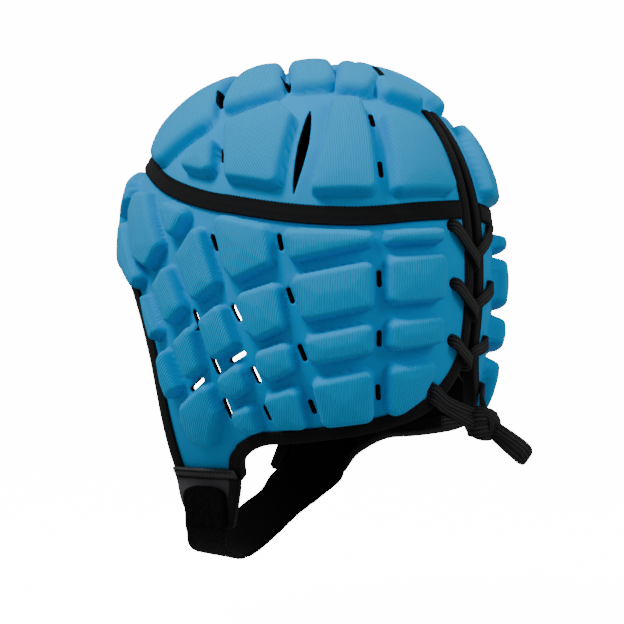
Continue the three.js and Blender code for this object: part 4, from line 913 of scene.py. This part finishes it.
def ribbon(controls, step, columns, thickness, round_start=0.0, relief=None):
    """Closed strip of cloth through rows of points: sections round its rounded edges, and its middle grid."""
    rows = np.array(controls, float)
    centre = rows.mean(1)
    keys = np.concatenate([[0], np.cumsum(np.sqrt(np.linalg.norm(np.diff(centre, axis=0), axis=1)))])
    dense = np.linspace(0, keys[-1], 60 * len(rows))
    at = np.interp(spaced(smooth_run(keys, centre, dense), step), np.arange(len(dense)), dense)
    lines = smooth_run(keys, rows, at)
    along = np.concatenate([[0], np.cumsum(np.linalg.norm(np.diff(lines.mean(1), axis=0), axis=1))])
    share = np.tile(np.linspace(0, 1, columns), (len(at), 1))
    if round_start > 0:
        width = np.linalg.norm(lines[:, -1] - lines[:, 0], axis=1)
        back = np.clip(round_start - along, 0, round_start)
        inset = (round_start - np.sqrt(np.maximum(round_start ** 2 - back ** 2, 0))) / width
        share = inset[:, None] + share * (1 - 2 * inset[:, None])
    spots = np.linspace(0, 1, rows.shape[1])
    grid = np.stack([[np.interp(share[i], spots, lines[i, :, k]) for i in range(len(at))] for k in range(3)], axis=2)
    normal = unit(np.cross(np.gradient(grid, axis=0), np.gradient(grid, axis=1)))
    side = unit(grid[:, -1] - grid[:, 0])
    lift = np.zeros(grid.shape[:2]) if relief is None else relief(grid.shape[:2])
    half = thickness / 2
    low = grid[:, ::-1] - normal[:, ::-1] * half
    high = grid + normal * (half + lift)[..., None]
    high[:, 0] -= normal[:, 0] * (half * 0.45)
    high[:, -1] -= normal[:, -1] * (half * 0.45)
    low[:, 0] += normal[:, -1] * (half * 0.45)
    low[:, -1] += normal[:, 0] * (half * 0.45)
    rear = (grid[:, -1] + side * half * 0.55)[:, None]
    front = (grid[:, 0] - side * half * 0.55)[:, None]
    return np.concatenate([high, rear, low, front], axis=1), grid, normal


def threads(centre, along, normal, length, width):
    """Small rounded stitches: a closed body for each row of centre, direction and normal."""
    along, normal = unit(np.asarray(along, float)), unit(np.asarray(normal, float))
    side = unit(np.cross(along, normal))
    points = [centre - along * length / 2 - normal * width * 0.2]
    for t, swell in ((-0.36, 0.75), (0.0, 1.0), (0.36, 0.75)):
        for angle in np.radians((90, 162, 234, 306, 18)):
            out = side * math.cos(angle) * width / 2 + normal * math.sin(angle) * width * 0.42
            points.append(centre + along * (length * t) + out * swell)
    points.append(centre + along * length / 2 - normal * width * 0.2)
    points = np.stack(points, axis=1)
    faces = []
    for j in range(5):
        k = (j + 1) % 5
        faces.append((0, 1 + k, 1 + j))
        for low in (1, 6):
            faces += [(low + j, low + k, low + 5 + k), (low + j, low + 5 + k, low + 5 + j)]
        faces.append((16, 11 + j, 11 + k))
    faces = np.array(faces)
    if signed_volume(points[0], faces) < 0:
        faces = faces[:, ::-1]
    starts = points.shape[1] * np.arange(len(points))[:, None, None]
    return points.reshape(-1, 3), (faces[None] + starts).reshape(-1, 3)


def thread_piece(name, groups, look):
    """One object from rows of stitches."""
    points, faces, offset = [], [], 0
    for group in groups:
        body, triangles = threads(*group)
        points.append(body)
        faces.append(triangles + offset)
        offset += len(body)
    piece = add_mesh(name, np.concatenate(points), np.concatenate(faces))
    finish_piece(piece, cloth=material("Black polyester thread", look))


def flap_row(arc, side, lift, trim=(0.0, 0.0), count=5):
    """Points across the end of a flap at one arc, from its front edge to its rear edge."""
    azimuth = np.linspace(61 + trim[0], 86.5 - trim[1], count) * side
    point, normal = place(azimuth, np.full(count, float(arc)))
    return point + normal * lift


def hanging_row(row, tilt=0.0, count=5):
    """Points across the tab or the strap below the flap, from its front edge to its rear edge."""
    drop, side, front, rear = row
    share = np.linspace(0, 1, count)
    y = -FRONT_REACH * (front + (rear - front) * share)
    z = WALL - float(drop_at(FLAP_END_ARC)) - STRAP_DROP * drop + tilt * (0.5 - share)
    return np.stack([np.full(count, STRAP_HALF * side), y, z], axis=1)


def panel_object(name, sheet, look):
    """Padded panel from its sheet: blue knit outside, black lining inside and on the cut edges."""
    points, faces, kind, facts = sheet.mesh(WALL)
    piece = add_mesh(name + "_foam", points, faces, facts)
    piece.data.materials.append(material("Ribbed knit over foam", look))
    piece.data.materials.append(material("Black lining cloth", look))
    piece.data.polygons.foreach_set("material_index", kind.astype(np.int32))
    finish_piece(piece, [name])


def build_wrap(size, look):
    """The panel round the head: pads, vents and eyelets of both halves."""
    cell = size.cell * 1000
    half = math.degrees(SEAM_GAP / 2 / CHART_DEPTH)
    left = edge_columns(cell)
    columns = np.concatenate([left[:0:-1] * [-1, -1, 1], left])
    top = seam_arc(columns[:, 0]) + half
    longest = math.radians(float((columns[:, 2] - top).max())) * CHART_DEPTH
    share = np.linspace(0, 1, int(round(longest / cell)) + 1)[:, None]
    azimuth = columns[:, 0] + (columns[:, 1] - columns[:, 0]) * share
    sheet = Sheet(azimuth, top + (columns[:, 2] - top) * share, False)
    shape, small_shape = size.pad_shape(), size.pad_shape(1.5)
    for name, corners in SIDE_PADS.items():
        chosen = small_shape if name.endswith("triangle") else shape
        sheet.pad(corners, chosen)
        sheet.pad(mirror(corners), chosen)
    for corners in MIDDLE_PADS.values():
        sheet.pad(corners, shape)
    for start, end in SIDE_VENTS.values():
        for side in (1, -1):
            sheet.slot((start[0] * side, start[1]), (end[0] * side, end[1]), size.vent_width * 1000, cell)
    for share_out, arc, _ in LACE_ROWS:
        azimuth_out = float(back_azimuth(share_out * SIDE_REACH, arc))
        for side in (1, -1):
            sheet.hole((azimuth_out * side, arc), EYELET_RADIUS, cell)
    panel_object("wrap_panel", sheet, look)


def build_crown(size, look):
    """The panel over the top: pads, vents, the two darts and the upper part of the back slot."""
    cell = size.cell * 1000
    half = math.degrees(SEAM_GAP / 2 / CHART_DEPTH)
    azimuth = np.linspace(-180, 180, int(round(CROWN_GIRTH / cell)), endpoint=False)
    bottom = seam_arc(azimuth) - half
    share = np.linspace(0, 1, int(round(math.radians(float(bottom.max())) * CHART_DEPTH / cell)) + 1)[:, None]
    arc = bottom * share
    sheet = Sheet(np.broadcast_to(azimuth, arc.shape).copy(), arc, True)
    shape = size.pad_shape()
    pillow = size.pad_shape(1.3)
    pillow.height, pillow.shoulder, pillow.corner = pillow.height * 0.92, pillow.shoulder * 1.5, pillow.corner * 1.3
    for name, corners in CROWN_PADS.items():
        own = pillow if name.startswith("top") else shape
        sheet.pad(corners, own)
        sheet.pad(mirror(corners), own)
    for start, end in CROWN_VENTS.values():
        for side in (1, -1):
            sheet.slot((start[0] * side, start[1]), (end[0] * side, end[1]), size.vent_width * 1000, cell)
    for side in (1, -1):
        sheet.lens([(row[0], row[1] * side, row[2] * side) for row in DART], cell)
    near = (sheet.base[..., 1] > 0) & (np.abs(sheet.base[..., 0]) < 10) & (sheet.arc > SLOT_TOP_ARC - 4)
    x, at = sheet.base[..., 0][near], sheet.arc[near]
    aside = np.abs(x) - slot_half(at)
    above = (SLOT_TOP_ARC - at) * math.radians(CHART_DEPTH)
    up = np.array([0.0, -math.sin(math.radians(30)), math.cos(math.radians(30))])
    move = np.where((aside > above)[:, None], np.sign(x + 1e-9)[:, None] * np.array([1.0, 0, 0]), up)
    sheet.cut(near, np.maximum(aside, above), move, cell * 0.7)
    panel_object("crown_panel", sheet, look)


def build_seam_tape(size, look):
    """Tape over the seam between the panels, with overcast stitches along both edges."""
    seam_back = float(seam_arc(np.array([180.0]))[0])
    end = float(back_azimuth(SLOT_HALF + BINDING_WIDTH + 0.4, seam_back))
    dense = np.linspace(-end, end, 2000)
    at = np.interp(spaced(valley(dense, seam_arc(dense)), 1.3), np.arange(2000), dense)
    half = math.degrees(TAPE_WIDTH / 2 / CHART_DEPTH)
    shifts = np.linspace(-half, half, 9)
    point, normal = place(at[:, None], seam_arc(at)[:, None] + shifts)
    share = np.linspace(-1, 1, len(shifts))
    height = TAPE_THICKNESS * (1 - 0.25 * np.abs(share) ** 6) + 0.12 * np.cos(share * 2.6 * math.pi)
    high = point + normal * (TAPE_LIFT + height)[None, :, None]
    low = (point + normal * TAPE_LIFT)[:, ::-1]
    points, faces, facts = tube(np.concatenate([high, low], axis=1))
    piece = add_mesh("seam_tape_twill", points, faces, facts)
    finish_piece(piece, ["seam_tape"], material("Black twill tape", look))
    fine = np.interp(spaced(valley(dense, seam_arc(dense)), 1.0), np.arange(2000), dense)
    groups = []
    for side in (-1, 1):
        where, up = place(fine, seam_arc(fine) + side * half * 0.86)
        tangent = unit(np.gradient(where, axis=0))
        away = unit(np.cross(up, tangent)) * side
        lean = np.where(np.arange(len(fine)) % 2 == 0, 1.0, -1.0)[:, None]
        seat = where + up * (TAPE_LIFT + TAPE_THICKNESS + 0.02)
        groups.append((seat, away + tangent * lean * 0.55, up, 2.3, 0.55))
    thread_piece("seam_stitches", groups, look)


def build_bindings(size, look):
    """Bindings folded round the face edge and the two rear edges, each with a row of stitches."""
    groups = []
    edges = {
        "face_binding": (face_edge(1.5), 1),
        "back_binding_left": (back_edge(1, 1.5), 1),
        "back_binding_right": (back_edge(-1, 1.5), -1),
    }
    for name, (edge, turn) in edges.items():
        points, faces, facts = tube(binding_sections(edge, turn))
        piece = add_mesh(name + "_twill", points, faces, facts)
        finish_piece(piece, [name], material("Black twill tape", look))
        _, normal, tangent = edge_frames(edge)
        off = unit(np.cross(tangent, normal)) * turn
        where, up = inset_place(edge[:, 0], edge[:, 1], off, BINDING_WIDTH - 1.2)
        seat = where + up * (OUTER_CLEARANCE + BINDING_THICKNESS - 0.16)
        groups.append((seat[1:-1:2], tangent[1:-1:2], up[1:-1:2], 2.5, 0.6))
    thread_piece("binding_stitches", groups, look)


def tab_controls():
    """Rows of points across the tab, from its sewn top to its lower end."""
    lift = 0.5 + BINDING_THICKNESS + 0.3 + TAB_THICKNESS / 2
    rows = [flap_row(TAB_TOP_ARC, 1, lift), flap_row(FLAP_END_ARC - 0.3, 1, lift)]
    return rows + [hanging_row(row) for row in TAB_ROWS]


def build_tab(size, look):
    """Chin tab sewn over the end of the left flap, its rear binding and its zigzag stitches."""
    sections, grid, normal = ribbon(tab_controls(), 1.0, 28, TAB_THICKNESS)
    points, faces, facts = tube(sections)
    tab = add_mesh("chin_tab_cloth", points, faces, facts)
    finish_piece(tab, ["chin_tab"], material("Smooth black laminate cloth with painted sheen", look))
    start = int(np.argmin(np.abs(grid[:, -1, 2] - (WALL - float(drop_at(FLAP_END_ARC)) - 0.4))))
    edge, up = grid[start:, -1], normal[start:, -1]
    across = unit(grid[start:, -1] - grid[start:, -4])
    top, bottom = TAB_THICKNESS / 2 + BINDING_THICKNESS, -TAB_THICKNESS / 2 - 0.3 - BINDING_THICKNESS
    rings = []
    width = TAB_BINDING_WIDTH
    for distance, lift in ((width, -0.5), (width - 0.5, -0.1), (width / 2, 0.0), (0.6, 0.0)):
        rings.append(edge - across * distance + up * (top + lift))
    for angle in np.radians((60, 25, -25, -60)):
        spread = abs(math.sin(angle)) ** 0.6 * math.copysign(1, angle)
        height = (top + bottom) / 2 + (top - bottom) / 2 * spread
        rings.append(edge + across * 1.5 * math.cos(angle) ** 0.5 + up * height)
    for distance, lift in ((0.6, 0.0), (width, 0.0)):
        rings.append(edge - across * distance + up * bottom)
    inner = TAB_THICKNESS / 2 + 0.3
    rings += [edge - across * width - up * inner, edge + across * 0.3 - up * inner]
    rings += [edge + across * 0.3 + up * TAB_THICKNESS / 2, edge - across * width + up * TAB_THICKNESS / 2]
    points, faces, facts = tube(np.stack(rings, axis=1))
    piece = add_mesh("tab_binding_twill", points, faces, facts)
    finish_piece(piece, ["tab_binding"], material("Black twill tape", look))
    lift = 0.5 + BINDING_THICKNESS + 0.3 + TAB_THICKNESS + 0.05
    groups = []
    for arc in TAB_STITCH_ARCS:
        count = 34
        azimuth = np.linspace(62.5, 85.5, count)
        where, out = place(azimuth, np.full(count, arc))
        tangent = unit(np.gradient(where, axis=0))
        down = unit(np.cross(tangent, out))
        lean = np.where(np.arange(count) % 2 == 0, 1.0, -1.0)[:, None]
        groups.append((where + out * lift, down * lean + tangent * 0.55, out, 2.3, 0.6))
    thread_piece("tab_stitches", groups, look)


def build_strap(size, look):
    """Chin strap from its soft end on the left tab, under the chin, to the inside of the right flap."""
    lift = -(WALL + 1.3 + 1.2 + 0.9 + STRAP_THICKNESS / 2)
    rows = []
    for row in STRAP_ROWS:
        rows.append(hanging_row(row, STRAP_TILT * (1 - abs(row[1]) / STRAP_ROWS[0][1])))
    rows += [flap_row(arc, -1, lift, STRAP_SEWN_TRIM) for arc in STRAP_SEWN]
    rng = np.random.default_rng(7)

    def relief(shape):
        """Height of the pile at each point."""
        return rng.normal(0.12, 0.16, shape)

    sections, grid, _ = ribbon(rows, 1.1, 30, STRAP_THICKNESS, 6.0, relief)
    points, faces, facts = tube(sections)
    strap = add_mesh("chin_strap_pile", points, faces, facts)
    finish_piece(strap, ["chin_strap"], material("Black loop pile", look))


def build_lace(size, look):
    """Flat braided lace: two strands through the eyelets and the slot, crossing between the rows."""
    width, thickness = size.lace_width * 1000, size.lace_thickness * 1000
    bodies = [(band(lace_stops(side), width, thickness, 0.9), False) for side in (1, -1)]
    share, arc, _ = LACE_ROWS[-1]
    eyelet, under = share * SIDE_REACH, np.array([0.0, 0.0, -1.0])
    spare = [
        back_spot(eyelet + 0.5, arc + 1.2, -WALL / 2) + under, back_spot(eyelet - 1.5, arc + 2.2, LACE_OVER) + under,
        back_spot(eyelet - 10, arc + 5.4, LACE_OVER + 3.0), KNOT_CENTRE + np.array([7.0, 0.5, -1.5]),
    ]
    bodies.append((band([(spot, UP) for spot in spare], width * 0.9, thickness, 0.9), False))
    band_piece("lace", bodies, look)


def ellipse_band(centre, first, second, width, thickness, count=44):
    """Band round an ellipse: its two half axes in the plane of the turn, with the flat side outwards."""
    first, second = np.array(first, float), np.array(second, float)
    axis = unit(np.cross(first, second))
    angles = np.linspace(0, 2 * math.pi, count, endpoint=False)[:, None]
    line = centre + first * np.cos(angles) + second * np.sin(angles)
    shares = np.cos(angles) / np.linalg.norm(first), np.sin(angles) / np.linalg.norm(second)
    out = unit(unit(first) * shares[0] + unit(second) * shares[1])
    turn = np.arange(12) / 12 * 2 * math.pi
    w = np.sign(np.cos(turn)) * np.abs(np.cos(turn)) ** 0.6 / 2
    h = np.sign(np.sin(turn)) * np.abs(np.sin(turn)) ** 0.6 / 2
    return line[:, None] + axis * (w * width)[None, :, None] + out[:, None] * (h * thickness)[None, :, None]


def build_knot(size, look):
    """Knot of wrapped lace round a small core, its loop and its short end."""
    width, thickness = size.lace_width * 1000, size.lace_thickness * 1000
    wide, deep, high = (value / 2 for value in KNOT_SIZE)
    centre = KNOT_CENTRE
    turns = [
        (centre + (0, 0, 2.6), (wide - 1.2, 0, 0.8), (0, deep - 1.3, 0.6), width * 1.1),
        (centre + (0, 0, -2.4), (wide - 1.2, 0, -1.0), (0, deep - 1.3, 0.4), width * 1.1),
        (centre + (1.4, 0.3, 0), (0.8, 0, high - 1.2), (1.4, deep - 0.6, 0), width),
        (centre + (-3.2, 0, 0), (-0.6, 0, high - 1.4), (0.8, deep - 1.2, 0), width),
        (centre, (wide * 0.62, 0, high * 0.8), (-0.8, deep + 0.4, 0.6), width),
    ]
    bodies = [(ellipse_band(at, first, second, wide_by, thickness), True) for at, first, second, wide_by in turns]
    core = ellipse_band(centre, (0.01, 0, high - 3.4), (0, deep - 3.4, 0), 2 * wide - 5, 2.0)
    bodies.append((core, True))
    band_piece("lace_knot", bodies, look)
    start = centre + np.array([-1.0, KNOT_SIZE[1] / 2 - 3.0, -2.5])
    out, apart = unit(np.array([0.0, 0.82, -0.57])), unit(np.array([-0.24, 0.45, 0.86]))
    view = unit(np.cross(out, apart))
    route = []
    half_loop = [(0, 0.5), (0.3, 0.75), (0.65, 1), (0.92, 0.95)]
    for reach, side in half_loop + [(1, 0)] + [(reach, -side) for reach, side in half_loop[::-1]]:
        beside = apart * side * LOOP_OPENING / 2 + view * side * (thickness * 0.95 + reach)
        route.append((start + out * reach * LOOP_LENGTH + beside, unit(apart + 0.25 * side * view)))
    loop_cord(route, "lace_loop", width, thickness, look)
    tip = centre + np.array([KNOT_SIZE[0] / 2 - 2, -1.5, 2.5])
    offsets = (
        (-12, 4, 0.5), (-15, 0.5, 2.5), (-9, -1.5, 1.5), (0, 0, 0), (STUB_LENGTH * 0.43, -4, 0),
        (STUB_LENGTH * 0.86, -9, -1),
    )
    loop_cord([(tip + offset, UP) for offset in offsets], "lace_end", width * 0.96, thickness, look)


def loop_cord(route, name, width, thickness, look):
    """Free length of lace along a route."""
    sections = band(route, width, thickness, 0.9)
    piece = band_piece(name, [(sections, False)], look)


def length_property(label, about, default, low, high):
    """A length in metres."""
    return bpy.props.FloatProperty(
        name=label, description=about, default=default, min=low, max=high, subtype="DISTANCE", unit="LENGTH")


def colour_property(label, about, default):
    """A colour, with its default as an sRGB hex value."""
    return bpy.props.FloatVectorProperty(
        name=label, description=about, default=colour(default), size=4, min=0, max=1, subtype="COLOR")


class PadShape:
    """Sizes of a pad in millimetres."""

    def __init__(self, height, crown, shoulder, corner, spread):
        self.height, self.crown, self.shoulder, self.corner, self.spread = height, crown, shoulder, corner, spread


class ScrumCapSizes(bpy.types.PropertyGroup):
    """Sizes that a user may change."""

    pad_height: length_property("Pad height", "Height of the pads above the wall", 0.0076, 0.003, 0.012)
    pad_crown: length_property("Pad crown", "Rise of a pad's middle above its shoulders", 0.0014, 0.0, 0.003)
    pad_shoulder: length_property("Pad shoulder", "Width of the rounded side of a pad", 0.0036, 0.001, 0.009)
    pad_spread: length_property("Pad spread", "Reach of a pad's foot past its corners", 0.0006, 0.0, 0.002)
    pad_corner: length_property("Pad corner", "Radius of a pad's corners", 0.0045, 0.001, 0.009)
    vent_width: length_property("Vent width", "Width of the vent slots", 0.0028, 0.001, 0.006)
    cell: length_property("Mesh step", "Distance between the vertices of a panel", 0.00112, 0.0008, 0.004)
    lace_width: length_property("Lace width", "Width of the flat lace", 0.0070, 0.002, 0.008)
    lace_thickness: length_property("Lace thickness", "Thickness of the flat lace", 0.0026, 0.001, 0.004)

    def pad_shape(self, wider=0.0):
        """Sizes of a pad whose foot may be made wider, in millimetres."""
        height, crown, shoulder = self.pad_height * 1000, self.pad_crown * 1000, self.pad_shoulder * 1000
        return PadShape(height, crown, shoulder, self.pad_corner * 1000, self.pad_spread * 1000 + wider)


class ScrumCapColours(bpy.types.PropertyGroup):
    """Colours of the cloths and cords, and the pitch of the knit."""

    valley: colour_property("Valley", "Blue between the pads", "#008CCB")
    valley_light: colour_property("Valley, light", "Lighter patches between the pads", "#0099D8")
    # Painted shade in the grooves and painted light on the ribs of the knit.
    pad_shade: colour_property("Pad groove", "Blue in the grooves of the knit", "#0089C4")
    pad_light: colour_property("Pad rib", "Blue on the ribs of the knit", "#0098D3")
    lining: colour_property("Lining", "Inner cloth", "#020203")
    lining_light: colour_property("Lining, light", "Lighter threads of the inner cloth", "#070708")
    tape: colour_property("Tape", "Grooves of the tapes and the lace", "#040405")
    tape_light: colour_property("Tape, light", "Ridges of the tapes", "#0A0A0B")
    # Painted highlight on the raised strands of the lace.
    lace_painted_highlight: colour_property("Lace, light", "Raised strands of the lace", "#303032")
    thread: colour_property("Thread", "Dark side of the stitches", "#060607")
    thread_light: colour_property("Thread, light", "Light side of the stitches", "#101012")
    # Tab colours: a painted sheen, grey painted into the colour of the black cloth.
    tab: colour_property("Tab", "Smooth cloth of the chin tab", "#333336")
    tab_sheen_light: colour_property("Tab, light", "Lighter patches of the chin tab", "#3A3A3E")
    pile: colour_property("Pile", "Ground of the loop pile", "#030304")
    pile_light: colour_property("Pile, light", "Loops of the loop pile", "#0F0F11")
    rib_pitch: bpy.props.FloatProperty(
        name="Rib pitch (mm)", description="Distance between the ribs of the knit, in millimetres", default=1.2,
        min=0.4, max=3.0)


def settings():
    """The sizes and the colours of the scene."""
    scene = bpy.context.scene
    return scene.scrum_cap_sizes, scene.scrum_cap_colours


class SCRUMCAP_OT_wrap(bpy.types.Operator):
    """Builds the padded panel round the head"""

    bl_idname = "scrum_cap.wrap"
    bl_label = "Wrap panel"

    def execute(self, context):
        build_wrap(*settings())
        return {"FINISHED"}


class SCRUMCAP_OT_crown(bpy.types.Operator):
    """Builds the padded panel over the top of the head"""

    bl_idname = "scrum_cap.crown"
    bl_label = "Crown panel"

    def execute(self, context):
        build_crown(*settings())
        return {"FINISHED"}


class SCRUMCAP_OT_seam_tape(bpy.types.Operator):
    """Builds the tape over the seam and its stitches"""

    bl_idname = "scrum_cap.seam_tape"
    bl_label = "Seam tape"

    def execute(self, context):
        build_seam_tape(*settings())
        return {"FINISHED"}


class SCRUMCAP_OT_bindings(bpy.types.Operator):
    """Builds the three edge bindings and their stitches"""

    bl_idname = "scrum_cap.bindings"
    bl_label = "Edge bindings"

    def execute(self, context):
        build_bindings(*settings())
        return {"FINISHED"}


class SCRUMCAP_OT_tab(bpy.types.Operator):
    """Builds the chin tab, its binding and its stitches"""

    bl_idname = "scrum_cap.tab"
    bl_label = "Chin tab"

    def execute(self, context):
        build_tab(*settings())
        return {"FINISHED"}


class SCRUMCAP_OT_strap(bpy.types.Operator):
    """Builds the chin strap"""

    bl_idname = "scrum_cap.strap"
    bl_label = "Chin strap"

    def execute(self, context):
        build_strap(*settings())
        return {"FINISHED"}


class SCRUMCAP_OT_lace(bpy.types.Operator):
    """Builds the lace through the eyelets"""

    bl_idname = "scrum_cap.lace"
    bl_label = "Lace"

    def execute(self, context):
        build_lace(*settings())
        return {"FINISHED"}


class SCRUMCAP_OT_knot(bpy.types.Operator):
    """Builds the knot, its loop and its short end"""

    bl_idname = "scrum_cap.knot"
    bl_label = "Knot and ends"

    def execute(self, context):
        build_knot(*settings())
        return {"FINISHED"}


def soft_light(name, place_at, size, power):
    """Round studio light that points at the cap."""
    light = bpy.data.lights.new(name, "AREA")
    light.shape, light.size, light.energy = "DISK", size, power
    lamp = bpy.data.objects.new(name, light)
    lamp.location = place_at
    lamp.rotation_euler = (Vector(LIT_SPOT) - Vector(place_at)).to_track_quat("-Z", "Y").to_euler()
    bpy.context.scene.collection.objects.link(lamp)
    lamp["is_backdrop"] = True


class SCRUMCAP_OT_stage(bpy.types.Operator):
    """Sets the pale floor, the soft lights and the camera"""

    bl_idname = "scrum_cap.stage"
    bl_label = "Stage"

    def execute(self, context):
        scene = context.scene
        bpy.ops.mesh.primitive_plane_add(size=40, location=(0, 0, FLOOR_HEIGHT))
        floor = context.active_object
        bpy.ops.mesh.primitive_uv_sphere_add(segments=48, ring_count=24, radius=DOME_RADIUS, location=(0, 0, 0))
        dome_sheet = context.active_object
        for sheet, name in ((floor, "floor"), (dome_sheet, "backdrop")):
            sheet.name = name
            sheet.data.materials.append(material("White studio paper", settings()[1]))
            sheet.visible_diffuse = sheet.visible_glossy = sheet.visible_transmission = sheet.visible_shadow = False
            sheet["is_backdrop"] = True
        scene.world = bpy.data.worlds.new("White studio")
        scene.world.use_nodes = True
        background = scene.world.node_tree.nodes["Background"]
        background.inputs["Color"].default_value = (1, 1, 1, 1)
        background.inputs["Strength"].default_value = WORLD_STRENGTH
        for name, light in LIGHTS.items():
            soft_light(name, *light)
        camera = bpy.data.cameras.new("camera")
        camera.lens, camera.sensor_width, camera.clip_end = CAMERA_LENS, 36, 100
        holder = bpy.data.objects.new("camera", camera)
        holder.location = CAMERA_EYE
        holder.rotation_euler = (Vector(CAMERA_AIM) - Vector(CAMERA_EYE)).to_track_quat("-Z", "Y").to_euler()
        scene.collection.objects.link(holder)
        scene.camera = holder
        return {"FINISHED"}


OPERATORS = (
    SCRUMCAP_OT_wrap, SCRUMCAP_OT_crown, SCRUMCAP_OT_seam_tape, SCRUMCAP_OT_bindings, SCRUMCAP_OT_tab,
    SCRUMCAP_OT_strap, SCRUMCAP_OT_lace, SCRUMCAP_OT_knot, SCRUMCAP_OT_stage,
)


class SCRUMCAP_PT_panel(bpy.types.Panel):
    """Buttons for the pieces of the cap"""

    bl_idname = "SCRUMCAP_PT_panel"
    bl_label = "Scrum Cap"
    bl_space_type = "VIEW_3D"
    bl_region_type = "UI"
    bl_category = "Scrum Cap"

    def draw(self, context):
        for operator in OPERATORS:
            self.layout.operator(operator.bl_idname)
        for group in settings():
            for key in group.__annotations__:
                self.layout.prop(group, key)


CLASSES = (ScrumCapSizes, ScrumCapColours) + OPERATORS + (SCRUMCAP_PT_panel,)


def register():
    for cls in CLASSES:
        bpy.utils.register_class(cls)
    bpy.types.Scene.scrum_cap_sizes = bpy.props.PointerProperty(type=ScrumCapSizes)
    bpy.types.Scene.scrum_cap_colours = bpy.props.PointerProperty(type=ScrumCapColours)


def unregister():
    del bpy.types.Scene.scrum_cap_sizes
    del bpy.types.Scene.scrum_cap_colours
    for cls in reversed(CLASSES):
        bpy.utils.unregister_class(cls)


def corners():
    """The two corners of the box round the scene, in metres."""
    return [[round(float(v), 5) for v in corner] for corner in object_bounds()]


def main():
    """Builds the whole cap."""
    register()
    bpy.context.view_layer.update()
    bpy.ops.scrum_cap.wrap()
    bpy.ops.scrum_cap.crown()
    bpy.ops.scrum_cap.seam_tape()
    bpy.ops.scrum_cap.bindings()
    bpy.ops.scrum_cap.tab()
    bpy.ops.scrum_cap.strap()
    bpy.ops.scrum_cap.lace()
    bpy.ops.scrum_cap.knot()
    bpy.ops.scrum_cap.stage()


if __name__ == "__main__":
    main()
